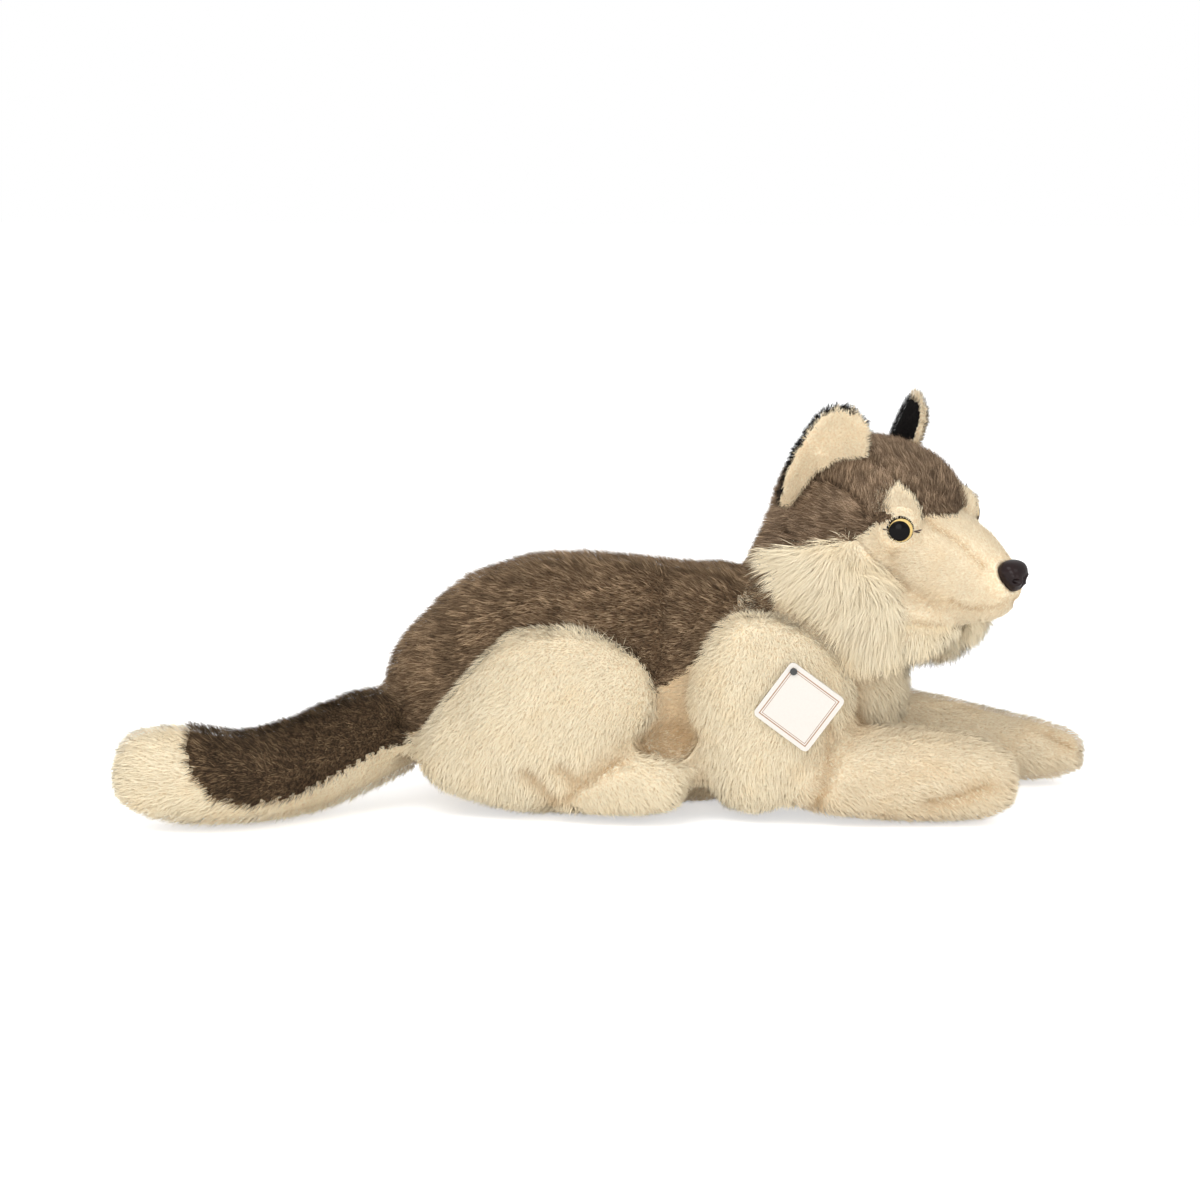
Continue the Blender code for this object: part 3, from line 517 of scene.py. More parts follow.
def tube(line, radius, sides=8, rounded=3):
    """A round tube along a line of points, its ends closed by shrinking rings.

    Each ring is the point plus radius times the cosine and sine of the ring's angle along
    two vectors square to the line; the first and last rings' radius follows a quarter circle.
    """
    along = unit(np.gradient(line, axis=0))
    side = unit(np.cross(along, np.where(np.abs(along[:, 2:3]) > 0.9, (1.0, 0, 0), (0, 0, 1.0))))
    up = np.cross(side, along)
    turns = np.linspace(0, math.tau, sides, endpoint=False)
    size = np.full(len(line), radius)
    ease = np.sin(np.linspace(0.15, math.pi / 2, rounded))
    size[:rounded] = radius * ease
    size[-rounded:] = radius * ease[::-1]
    ring = np.cos(turns)[None, :, None] * side[:, None] + np.sin(turns)[None, :, None] * up[:, None]
    places = (line[:, None] + ring * size[:, None, None]).reshape(-1, 3)
    return places, np.roll(ring_quads(len(line), sides), -1, axis=1)


def turned(profile, sides):
    """Places and quads of a profile of radius and height pairs turned about z."""
    turns = np.linspace(0, math.tau, sides, endpoint=False)
    x = profile[:, :1] * np.cos(turns)
    y = profile[:, :1] * np.sin(turns)
    z = np.repeat(profile[:, 1:], sides, axis=1)
    return np.stack([x, y, z], -1).reshape(-1, 3), ring_quads(len(profile), sides)


def reworked(mesh, *steps):
    """The mesh after some steps of mesh editing, each a function of the open mesh."""
    shape = bmesh.new()
    shape.from_mesh(mesh)
    for step in steps:
        step(shape)
    shape.to_mesh(mesh)
    shape.free()
    mesh.update()
    return mesh


def weld(shape):
    bmesh.ops.remove_doubles(shape, verts=shape.verts[:], dist=SAME_PLACE)


def close_ends(shape):
    bmesh.ops.holes_fill(shape, edges=[edge for edge in shape.edges if edge.is_boundary])


def face_outwards(shape):
    bmesh.ops.recalc_face_normals(shape, faces=shape.faces[:])


def closed_mesh(name, places, quads):
    """A mesh with its poles and open ends closed and its faces pointing outwards."""
    mesh = reworked(mesh_of(name, places, quads), weld, close_ends, face_outwards)
    mesh.shade_smooth()
    return mesh


def rings_of(places, radius):
    """For the eye's rings: each place's share of the radius from the middle, and from the pupil's."""
    rings = np.ones((len(places), 4))
    rings[:, 0] = np.hypot(places[:, 0], places[:, 1]) / radius
    rings[:, 1] = np.hypot(*(places[:, :2] + np.array(PUPIL_SHIFT) * radius).T) / radius
    rings[places[:, 2] < 0.0008, 0] = 1.0
    return rings


def evaluated(piece):
    bpy.context.view_layer.update()
    graph = bpy.context.evaluated_depsgraph_get()
    return bpy.data.meshes.new_from_object(piece.evaluated_get(graph))


# Padded skins


def joined_nodes(name, nodes):
    """One mesh of the nodes' solids, with each vertex's node number as an attribute."""
    places, corners, numbers, start = [], [], [], 0
    for number, node in enumerate(nodes):
        mesh = NODES[node].data
        here = places_of(mesh)
        places.append(here)
        corners.append(triangles_of(mesh) + start)
        numbers.append(np.full(len(here), number))
        start += len(here)
    mesh = mesh_of(name, np.vstack(places), np.vstack(corners))
    mark_nodes(mesh, np.concatenate(numbers))
    return mesh


def mark_nodes(mesh, numbers):
    values = np.zeros((len(mesh.vertices), 4))
    values[:, 0] = numbers
    paint(mesh, "panel", values)


def hollows(mesh, rounds):
    """How far each vertex lies below its averaged surroundings, in metres.

    Every place is averaged with its neighbours' mean for a number of rounds, and the gap
    from the vertex to its averaged place is measured along the normal.
    """
    edges = edges_of(mesh)
    first, second = edges.T
    start = places_of(mesh)
    size = len(start)
    count = np.maximum(np.bincount(edges.ravel(), minlength=size), 1)[:, None]
    calm = start.copy()
    for _ in range(rounds):
        total = [np.bincount(first, calm[second, k], size) + np.bincount(second, calm[first, k], size)
                 for k in range(3)]
        calm = 0.5 * calm + 0.5 * np.stack(total, -1) / count
    return ((calm - start) * normals_of(mesh)).sum(1)


def puffed(piece):
    """Blows the cloth up from inside for a few frames and gives back its places."""
    scene = bpy.context.scene
    scene.frame_set(1)
    cloth = piece.modifiers.new("Stuffing", "CLOTH")
    cloth.settings.use_pressure = True
    cloth.settings.uniform_pressure_force = STUFFING_PRESSURE
    cloth.settings.quality = 5
    cloth.settings.tension_stiffness = CLOTH_STIFFNESS
    cloth.settings.compression_stiffness = CLOTH_STIFFNESS
    cloth.settings.bending_stiffness = CLOTH_BENDING
    cloth.settings.effector_weights.gravity = 0
    cloth.collision_settings.use_collision = False
    cloth.point_cache.frame_start = 1
    cloth.point_cache.frame_end = STUFFING_FRAMES
    for number in range(1, STUFFING_FRAMES + 1):
        scene.frame_set(number)
    blown = evaluated(piece)
    places = places_of(blown)
    bpy.data.meshes.remove(blown)
    piece.modifiers.remove(cloth)
    scene.frame_set(1)
    return places


def move_to(mesh, places):
    """Puts the vertices at the places, none lower than the floor gap."""
    places[:, 2] = np.maximum(places[:, 2], FLOOR_GAP)
    mesh.vertices.foreach_set("co", places.astype(np.float32).ravel())
    mesh.update()


def finished_by(piece, name):
    """Applies the piece's modifiers to its mesh."""
    mesh = evaluated(piece)
    piece.modifiers.clear()
    piece.data = mesh
    mesh.name = name
    return mesh


def skin_over(name, covers, fillings, voxel, depth, folds, swell, calming=4, under=(), tuck=None):
    """A padded skin just inside the outline of the covers.

    The solids are remeshed into one closed cloth, which is moved in along its normals by
    depth(places), and further where the cloth is hollow or where folds(places) nears 1. It
    is blown up by a cloth simulation with its movement capped, and subdivided. Its sunk
    attribute keeps how deep in a fold each vertex lies, from 0 to 1. It also runs on under
    the solids named in under, which it doesn't stand for, and where it lies under the other
    skin it is drawn toward the head's middle by the share that tuck(places) gives.
    """
    sizes = bpy.context.scene.wolf_sizes
    solids = reworked(joined_nodes(name, [*covers, *fillings, *under]), weld)
    skin = new_piece(name, solids)
    remesh = skin.modifiers.new("Remesh", "REMESH")
    remesh.mode = "VOXEL"
    remesh.voxel_size = voxel
    calm = skin.modifiers.new("Calm", "SMOOTH")
    calm.factor = 0.5
    calm.iterations = calming
    mesh = finished_by(skin, name)
    start = places_of(mesh)
    sunk = np.clip(hollows(mesh, HOLLOW_ROUNDS) / (HOLLOW_SHARE * voxel), 0, 1)
    sunk = np.maximum(sunk, folds(start))
    layer = mesh.attributes.new("sunk", "FLOAT", "POINT")
    layer.data.foreach_set("value", sunk.astype(np.float32))
    deep = depth(start) + sizes.fold_depth * voxel / sizes.body_voxel * sunk
    start -= normals_of(mesh) * deep[:, None]
    if tuck is not None:
        middle = np.array(HEAD @ Vector(HEAD_MIDDLE))
        start += (middle - start) * tuck(start)[:, None]
    move_to(mesh, start)
    step = puffed(skin) - start
    size = np.linalg.norm(step, axis=1, keepdims=True)
    most = (swell * (1 - 0.8 * sunk))[:, None]
    move_to(mesh, start + step * np.minimum(1, most / np.maximum(size, 1e-9)))
    finer = skin.modifiers.new("Finer", "SUBSURF")
    finer.levels = 1
    finer.render_levels = 1
    mesh = finished_by(skin, name)
    for attribute in list(mesh.color_attributes):
        mesh.color_attributes.remove(attribute)
    mark_nodes(mesh, 0)
    source = bpy.data.objects.new(name + "_panels", joined_nodes(name + "_panels", [*covers, *under]))
    bpy.context.scene.collection.objects.link(source)
    pass_on = skin.modifiers.new("Panels", "DATA_TRANSFER")
    pass_on.object = source
    pass_on.use_vert_data = True
    pass_on.data_types_verts = {"COLOR_VERTEX"}
    pass_on.vert_mapping = "POLYINTERP_NEAREST"
    pass_on.layers_vcol_vert_select_src = "ALL"
    pass_on.layers_vcol_vert_select_dst = "NAME"
    mesh = finished_by(skin, name)
    bpy.data.objects.remove(source)
    mesh.shade_smooth()
    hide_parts(*covers, *fillings)
    return skin


def sunk_of(mesh):
    return read(mesh.attributes["sunk"].data, "value").astype(float)


def panel_numbers(mesh):
    """The panel number of each vertex."""
    return np.rint(read(mesh.color_attributes["panel"].data, "color", 4)[:, 0]).astype(int)


def shift_border(mesh, split, rounds):
    """Grows panel 1 by some vertices behind a share of the mesh's reach along x, panel 0 before it."""
    first, second = edges_of(mesh).T
    numbers = panel_numbers(mesh)
    across = places_of(mesh)[:, 0]
    rear = across < across.min() + split * (across.max() - across.min())
    for wanted, here, times in ((1, rear, rounds[0]), (0, ~rear, rounds[1])):
        for _ in range(times):
            reached = np.zeros(len(numbers), bool)
            reached[first[numbers[second] == wanted]] = True
            reached[second[numbers[first] == wanted]] = True
            numbers[reached & here] = wanted
    mesh.color_attributes.remove(mesh.color_attributes["panel"])
    mark_nodes(mesh, numbers)


def paint_panels(skin, covers, backings, has_second):
    """Gives each face the first or the second backing, by the panel of its first corner."""
    mesh = skin.data
    for name in backings:
        mesh.materials.append(cloth_of(name))
    corners = read(mesh.loops, "vertex_index", kind=np.int32)
    firsts = corners[read(mesh.polygons, "loop_start", kind=np.int32)]
    table = np.array([has_second(cover) for cover in covers])
    mesh.polygons.foreach_set("material_index", table[panel_numbers(mesh)[firsts]].astype(np.int32))


# Pile


def waves(places, size, seed):
    """Smooth noise of three numbers per place: sums of sines with random directions."""
    random = np.random.default_rng(seed)
    total = np.zeros((len(places), 3))
    for _ in range(5):
        direction = unit(random.normal(size=(3, 3))) * math.tau / size * random.uniform(0.6, 1.5)
        total += np.sin(places @ direction + random.uniform(0, math.tau, 3))
    return total / 2.2


def tufts(places, size, seed):
    """The nearest tuft centre of each place, and a number of that tuft's own.

    One centre lies at a hashed spot in each cell of a grid, and the 27 cells round a place
    are searched.
    """
    cell = np.floor(places / size).astype(np.int64)
    best = np.full(len(places), np.inf)
    centre = np.zeros_like(places)
    number = np.zeros(len(places))
    for step in np.ndindex(3, 3, 3):
        here = cell + np.array(step) - 1
        code = here[:, 0] * 73856093 ^ here[:, 1] * 19349663 ^ here[:, 2] * 83492791 ^ seed
        spots = []
        for factor in (2654435761, 40503, 69069):
            code = (code * factor + 12345) & 0xFFFFFFFF
            code ^= code >> 13
            spots.append((code & 0xFFFFFF) / 0x1000000)
        spot = (here + np.stack(spots, -1)) * size
        gap = ((places - spot) ** 2).sum(1)
        nearer = gap < best
        best = np.where(nearer, gap, best)
        centre = np.where(nearer[:, None], spot, centre)
        number = np.where(nearer, spots[0], number)
    return centre, number


class Coat:
    """How one panel's pile grows: its length, the way it is combed, its strands to the square
    millimetre, and what differs from the usual coat below.

    Its lean is in degrees. Its pairs are the shares of a strand's length at which the strand
    has its two sides. Its mixing is how far its strands and the next panel's grow into each
    other at their border. Its zone, where it has one, tells which places it grows on, its trim
    how long it is there, and its marks how deep in a seam each place lies, from 0 to 1, where
    the strands grow shorter and take a painted shade.
    """
    lean, width, tuft, crowd = 46, 1.0, 0.0042, 1.0
    uneven, curl, ruffle, droop = 0.3, 0.22, 0.12, 0.0
    slot, material, pairs, mixing = "cream_plush", "cream pile", (0.45,), 0.6

    def __init__(self, pile, comb, density, zone=None, trim=None, marks=None, **settings):
        self.pile, self.comb, self.density = pile, comb, density
        self.zone, self.trim, self.marks = zone, trim, marks
        for name, value in settings.items():
            setattr(self, name, value)


def scattered(skin, panel, density, mixing, seed):
    """Evenly scattered places on a panel of a skin, with their normals and folds.

    Places are taken at even steps of the running sum of the triangles' areas, and each
    belongs to the panel of its nearest corner, or the more mixing the oftener of the next.
    """
    random = np.random.default_rng(seed)
    mesh = skin.data
    places, normals, corners = places_of(mesh), normals_of(mesh), triangles_of(mesh)
    sunk = sunk_of(mesh)
    numbers = panel_numbers(mesh)
    corners = corners[(numbers[corners] == panel).any(1)]
    a, b, c = (places[corners[:, k]] for k in range(3))
    area = np.linalg.norm(np.cross(b - a, c - a), axis=1) / 2
    resting = (a[:, 2] + b[:, 2] + c[:, 2]) / 3 < 2 * FLOOR_GAP
    area = np.where(resting, area * RESTING_SHARE, area)
    total = np.cumsum(area)
    count = int(total[-1] * density * 1e6)
    picks = (np.arange(count) + random.random(count)) / count * total[-1]
    which = np.minimum(np.searchsorted(total, picks), len(total) - 1)
    u, v = random.random(count), random.random(count)
    over = u + v > 1
    shares = np.stack([1 - np.where(over, 1 - u, u) - np.where(over, 1 - v, v),
                       np.where(over, 1 - u, u), np.where(over, 1 - v, v)], -1)
    ends = corners[which]
    nearest = (shares + mixing * random.random((count, 3))).argmax(1)
    own = numbers[ends[np.arange(count), nearest]] == panel
    ends, shares = ends[own], shares[own]
    at = (places[ends] * shares[:, :, None]).sum(1)
    out = (normals[ends] * shares[:, :, None]).sum(1)
    return at, unit(out), (sunk[ends] * shares).sum(1), random


def grow(name, skin, panel, coat, seed):
    """A panel's pile as one mesh of thin flat strands, each from a root to a pointed tip.

    A strand leaves its root near the normal and bends over toward the combed way: at a share
    s of its length its slope from the normal is lean times 0.55 + 0.8 s. Each step along it
    is the normal times the slope's cosine plus the combed way times its sine. It droops and
    is drawn toward the centre of its tuft by the square of s. Its normals are the skin's,
    leaned a little along the strand, so that the pile is shaded as one soft surface, and
    turned up on undersides, where light passes through the pile.
    """
    sizes = bpy.context.scene.wolf_sizes
    root, out, sunk, random = scattered(skin, panel, coat.density, coat.mixing, seed)
    if coat.zone is not None:
        inside = coat.zone(root)
        root, out, sunk = root[inside], out[inside], sunk[inside]
    if len(root) < FEWEST:
        return None
    if coat.marks is not None:
        sunk = np.maximum(sunk, coat.marks(root + out * coat.pile * 0.5))
    long = coat.pile * (1 + coat.uneven * (random.random(len(root)) - 0.6)) * (1 - 0.45 * sunk)
    if coat.trim is not None:
        long = long * coat.trim(root)
    kept = long > SHORTEST
    root, out, sunk, long = root[kept], out[kept], sunk[kept], long[kept]
    count = len(root)
    if count < FEWEST:
        return None
    comb = unit(coat.comb(root)) + coat.curl * waves(root, BROAD_WAVES, seed + 1)
    comb = comb + 0.5 * coat.curl * waves(root, FINE_WAVES, seed + 2)
    comb = unit(comb + 0.2 * random.normal(size=(count, 3)))
    comb = unit(comb - out * (comb * out).sum(1, keepdims=True))
    lean = math.radians(coat.lean) + LEAN_SPREAD * random.normal(size=count)
    centre, number = tufts(root, coat.tuft, seed + 3)
    pull = (centre - root) * sizes.crowd * coat.crowd
    shares = (*coat.pairs, 1.0)
    line, at, done = [], root.copy(), 0.0
    for share_here in shares:
        slope = np.minimum(lean * (0.55 + 0.8 * (share_here + done) / 2), math.radians(88))[:, None]
        at = at + (long * (share_here - done))[:, None] * (out * np.cos(slope) + comb * np.sin(slope))
        done = share_here
        bent = at + pull * share_here**2
        bent[:, 2] -= coat.droop * long * share_here**2
        line.append(bent)
    along = unit(line[-1] - root)
    side = unit(np.cross(along, out + 0.25 * random.normal(size=(count, 3))))
    half = sizes.strand_width / 2 * coat.width * (0.7 + 0.6 * random.random(count))[:, None]
    rows = [root - out * ROOT_SINK]
    for share_here, middle in zip(coat.pairs, line):
        narrow = half * (1 - 0.55 * max(0.0, share_here - 0.45) / 0.55)
        rows += [middle - side * narrow, middle + side * narrow]
    rows.append(line[-1])
    places = np.stack(rows, 1)
    places[:, :, 2] = np.maximum(places[:, :, 2], STRAND_GAP)
    template = [(0, 2, 1)]
    for k in range(1, len(coat.pairs)):
        low = 2 * k - 1
        template += [(low, low + 1, low + 3), (low, low + 3, low + 2)]
    last = len(rows) - 1
    template = np.array(template + [(last - 2, last - 1, last)])
    faces = (np.arange(count)[:, None, None] * len(rows) + template).reshape(-1, 3)
    mesh = mesh_of(name, places.reshape(-1, 3), faces)
    heights = np.concatenate([[0.0], np.repeat(coat.pairs, 2), [1.0]])
    strand = np.empty((count, len(rows), 4), np.float32)
    strand[:, :, 0] = heights
    strand[:, :, 1] = random.random(count)[:, None]
    strand[:, :, 2] = number[:, None]
    # Fourth number: how deep in a fold the strand grows, which the pile's material paints as shade
    strand[:, :, 3] = sunk[:, None]
    paint(mesh, "strand", strand)
    lay_out_strands(mesh, count, heights, template)
    shown = out + 0.25 * along + coat.ruffle * random.normal(size=(count, 3))
    shown[:, 2] += 1.1 * np.maximum(0, -out[:, 2])
    shown = unit(shown)
    layer = mesh.attributes.new("lie", "FLOAT_VECTOR", "POINT")
    layer.data.foreach_set("vector", np.repeat(shown, len(rows), axis=0).astype(np.float32).ravel())
    mesh.polygons.foreach_set("use_smooth", np.ones(len(faces), bool))
    mesh.normals_split_custom_set_from_vertices(np.repeat(shown, len(rows), axis=0))
    mesh.materials.append(cloth_of(coat.material))
    return new_piece(name, mesh)


def lay_out_strands(mesh, count, heights, template):
    """A UV map with a square cell for each strand, root at the foot and tip at the top."""
    across = math.ceil(math.sqrt(count))
    cell = np.stack([np.arange(count) % across, np.arange(count) // across], -1)[:, None, None]
    reach = np.full(len(heights), 0.5)
    reach[1:-1:2] = 0.08
    reach[2:-1:2] = 0.92
    spot = np.stack([reach, 0.06 + 0.88 * np.asarray(heights)], -1)
    corners = cell + spot[template]
    layer = mesh.uv_layers.new(name="OFBake")
    layer.data.foreach_set("uv", (corners / across).astype(np.float32).ravel())


def steady(x, y, z):
    """A comb that is the same all over."""
    return lambda places: np.tile((float(x), float(y), float(z)), (len(places), 1))


def along_tail(places):
    """Toward the tail's tip, whose way turns from sideways to straight back."""
    bend = np.clip((places[:, 0] + 0.26) / 0.06, 0, 1)
    return np.stack([-np.ones(len(places)), -0.75 * bend, -0.15 * np.ones(len(places))], -1)


def from_nose(places):
    """Away from the nose over the head, and down on the cheeks."""
    local = to_head(places)
    way = local - np.array(NOSE_TIP)
    way[:, 2] -= 0.4 * np.clip(-local[:, 2] / 0.04, 0, 1) * 0.06
    way[:, 0] = np.minimum(way[:, 0], -0.03)
    return turned_by(HEAD, unit(way))


def in_head(x, y, z):
    return lambda places: turned_by(HEAD, steady(x, y, z)(places))


def to_head(places):
    return moved_by(HEAD.inverted(), places)


def on_own_side(point, local):
    """A point of the left side for places there, and its mirror image for those of the right."""
    return np.array(point) * np.stack([np.ones(len(local)), np.sign(local[:, 1]), np.ones(len(local))], -1)


def behind_cheek(local):
    """How far a place of the head lies behind the cheek seam, negative before it."""
    return np.interp(-local[:, 2], *SEAM_DROP) - local[:, 0]


def above_crown_edge(local):
    return local[:, 2] - np.interp(local[:, 0], *CROWN_EDGE)


def on_face(places):
    local = to_head(places)
    return (behind_cheek(local) < 0) & (local[:, 2] > JAW_FOLD) & ~beside_brow(places)


def on_throat(places):
    local = to_head(places)
    return (behind_cheek(local) < 0) & (local[:, 2] <= JAW_FOLD)


def on_ruff(places):
    local = to_head(places)
    return (behind_cheek(local) >= 0) & (above_crown_edge(local) <= 0.001)


def beside_brow(places):
    """The strip of the face's panel between the brow and the crown, which is brown."""
    local = to_head(places)
    return (local[:, 2] > 0.011) & (local[:, 0] < BROW_REAR)


def on_brown_nape(places):
    local = to_head(places)
    return (above_crown_edge(local) > 0) & (local[:, 0] > CROWN_REAR)


def beside_ruff(places):
    """The top of the flanks and the rear of the neck, which are brown like the back."""
    return (places[:, 2] > 0.100) & (places[:, 0] < 0.112)


def behind_crown(places):
    """The rear of the head, where the body's skin runs on into the nape."""
    local = to_head(places)
    return (above_crown_edge(local) > 0.001) & (local[:, 0] < CROWN_REAR + 0.012)


def on_neck_ruff(places):
    local = to_head(places)
    above = local[:, 2] > np.interp(local[:, 0], *RUFF_EDGE)
    return above & (above_crown_edge(local) <= 0) & (local[:, 0] > RUFF_EDGE[0][0])


def on_breast(places):
    """The front of the neck, where the long pile stands out below the jaw."""
    return (places[:, 0] > 0.160) & (places[:, 2] > 0.055) & (np.abs(places[:, 1]) < 0.060)


def on_neck_below(places):
    return ~on_brown_nape(places) & ~on_neck_ruff(places)


def on_pale_neck(places):
    return on_neck_below(places) & ~beside_ruff(places)


def on_brown_neck(places):
    return on_neck_below(places) & beside_ruff(places)


def on_pale_flank(places):
    return ~beside_ruff(places)


def fan_out(places):
    """Away from the top of the cheek seam on each side, and a little down, never up."""
    local = to_head(places)
    way = unit(local - on_own_side(FAN, local))
    way[:, 2] = np.minimum(way[:, 2], 0.1) - 0.35
    return turned_by(HEAD, way)


def ruff_taper(places):
    """Long at the rear of the cheek, shorter toward the muzzle and right at the seam."""
    local = to_head(places)
    from_fan = np.linalg.norm(local - on_own_side(FAN, local), axis=1)
    shorter = np.interp(from_fan, (0.006, 0.020), (0.4, 1))
    return (shorter * np.interp(local[:, 0], (0.020, 0.060), (1, 0.42))
            * np.interp(behind_cheek(local), (0, 0.010), (0.62, 1)))


def throat_taper(places):
    return np.interp(to_head(places)[:, 0], (0.055, 0.095), (1.15, 0.45))


def nearest_of(places, lines, width):
    """1 on the nearest of the lines, falling off to 0 over about twice the width."""
    gap = np.min([distance_to_line(places, line) for line in lines], axis=0)
    return np.exp(-(gap / width) ** 2)


def near_lines(lines, width, most=1.0):
    """A function of places that gives the most on the lines and falls off beside them."""
    return lambda places: most * nearest_of(places, lines, width)


def everywhere(value):
    """A function of places that gives one number all over."""
    return lambda places: np.full(len(places), value)


def fan_from(middle):
    """A comb that leads away from a middle place, upward and a little forward."""
    return lambda places: unit(places - middle) + np.array((0.1, 0, 0.25))


def shaded_near(base):
    """A function of places that gives the shade inside an ear, deepest near its base."""
    return lambda places: np.interp(np.linalg.norm(places - base, axis=1), (0.012, 0.045), (0.6, 0))


def drawn(lines):
    return [smooth_line(line, 40) for line in lines]


def both_sides(lines):
    return drawn(lines) + [line * (1, -1, 1) for line in drawn(lines)]


def grow_coats(skin, covers, coats, layers, first_seed, beneath=()):
    """Grows the coats of each cover, each a piece named for the cover and the layer.

    A cover that the skin only runs beneath, as the neck does under the head, says so.
    """
    for number, cover in enumerate(covers):
        part = cover.replace("_cover", "") + ("_neck" if cover in beneath else "")
        for layer, coat in enumerate(coats.get(cover, [])):
            grow(part + "_pile" + layers[layer], skin, number, coat, first_seed + 10 * number + layer)


# Operators


BODY_COVERS = ["back_cover", "belly_cover", "flank_cover_left", "flank_cover_right", "chest_cover",
               "tail_top_cover", "tail_underside_cover"]
BODY_COVERS += [part + "_" + side + "_cover" for part in STUFFED for side, _ in LEFT_RIGHT]
BODY_FILLINGS = ["trunk_stuffing", "tail_stuffing"]
BODY_FILLINGS += [part + "_" + side + "_stuffing" for part in STUFFED for side, _ in LEFT_RIGHT]
HEAD_COVERS = ["crown_cover", "bridge_cover", "face_cover_left", "face_cover_right", "jaw_cover",
               "cheek_ruff_left", "cheek_ruff_right"]
HEAD_FILLINGS = ["head_stuffing"]
BROWN_COVERS = ("back_cover", "tail_top_cover", "crown_cover")


class WOLF_OT_body(bpy.types.Operator):
    """Make the body's padded skin and its pile, with the nape and the cheek ruffs"""
    bl_idname = "wolf.body"
    bl_label = "Body"

    def execute(self, context):
        sizes = context.scene.wolf_sizes

        def depth(places):
            below_ruff = to_head(places)[:, 2] < RUFF_EDGE[1][4]
            full = sizes.body_depth * np.where(on_breast(places), 0.45, 1)
            return full * np.interp(places[:, 0], (0.150, 0.190), (1, 0.62)) ** below_ruff

        def tuck(places):
            local = to_head(places)
            hidden = np.maximum(np.interp(-behind_cheek(local), (0.0, 0.010), (0, 1)),
                                np.interp(above_crown_edge(local), (0.001, 0.010), (0, 1)))
            hidden *= np.interp(local[:, 0], (CROWN_REAR - 0.004, CROWN_REAR + 0.008), (0, 1))
            hidden *= np.interp(local[:, 2], (JAW_FOLD - 0.024, JAW_FOLD - 0.012), (0, 1))
            in_reach = np.linalg.norm(local - np.array(HEAD_MIDDLE), axis=1) < HEAD_REACH
            return BODY_TUCK * hidden * in_reach

        lines = both_sides(BOTH_SIDE_FOLDS) + drawn(ONE_SIDE_FOLDS)
        skin = skin_over("body_skin", BODY_COVERS, BODY_FILLINGS, sizes.body_voxel, depth,
                         near_lines(lines, 0.0045, 0.9), sizes.swell, under=HEAD_COVERS + HEAD_FILLINGS,
                         tuck=tuck)
        paint_panels(skin, BODY_COVERS + HEAD_COVERS + HEAD_FILLINGS, ("cream backing", "brown backing"),
                     lambda cover: cover in BROWN_COVERS)
        pile = sizes.body_pile
        back = steady(-1, 0, -0.35)
        # The body's folds mark the pile, which grows shorter there and is painted darker as shade
        soft = dict(lean=57, marks=near_lines(lines, 0.0040))
        # tan: the flank pile, whose darker cream is painted shade on the flanks and the belly
        tan = {**soft, "material": "flank pile"}
        leg = {**soft, "material": "foreleg pile"}
        dark = dict(material="brown pile", slot="brown_plush", ruffle=0.32, crowd=1.6)
        tail = {**dark, "material": "tail pile"}
        nape = dict(material="nape pile", slot="brown_plush", ruffle=0.25, lean=52)
        ruff = dict(material="ruff pile", lean=57, tuft=0.006, crowd=1.1, uneven=0.6, pairs=(0.35, 0.72),
                    droop=0.08, curl=0.34, width=0.72)
        coats = {
            "back_cover": [Coat(pile * 1.1, back, 1.15, **dark)],
            "belly_cover": [Coat(pile * 0.8, back, 0.6, width=1.5, **tan)],
            "chest_cover": [
                Coat(pile * 1.25, steady(0.45, -0.1, -1), 1.0, on_pale_neck, tuft=0.006, lean=48),
                Coat(sizes.ruff_pile * 0.8, fan_out, 1.7, on_neck_ruff, **ruff),
                Coat(pile * 1.35, fan_out, 1.5, on_brown_nape, **nape),
                Coat(pile * 1.1, back, 1.4, on_brown_neck, **dark),
            ],
            "tail_top_cover": [Coat(pile * 1.2, along_tail, 1.15, **tail)],
            "tail_underside_cover": [Coat(pile * 1.1, along_tail, 0.9, **soft)],
        }
        for side, _ in LEFT_RIGHT:
            coats["flank_cover_" + side] = [Coat(pile, back, 1.5, on_pale_flank, **tan),
                                            Coat(pile * 1.1, back, 1.4, beside_ruff, **dark)]
            for part, length_share, comb, how in (("haunch", 1, (-0.5, 0, -0.9), soft),
                                                  ("shoulder", 1, (-0.2, 0, -1), soft),
                                                  ("hind_foot", 0.85, (0.6, 0, -0.7), soft),
                                                  ("foreleg", 0.85, (1, 0, -0.6), leg)):
                coats[part + "_" + side + "_cover"] = [Coat(pile * length_share, steady(*comb), 1.05, **how)]
        behind = Coat(pile * 1.35, fan_out, 1.5, behind_crown, **nape)
        for cover in HEAD_COVERS[2:]:
            coats[cover] = [Coat(sizes.ruff_pile, fan_out, 1.9, on_ruff, ruff_taper, **ruff), behind]
        coats["crown_cover"] = [behind]
        grow_coats(skin, BODY_COVERS + HEAD_COVERS, coats, ("", "_ruff", "_nape", "_rear"), BODY_SEED,
                   HEAD_COVERS)
        return {"FINISHED"}


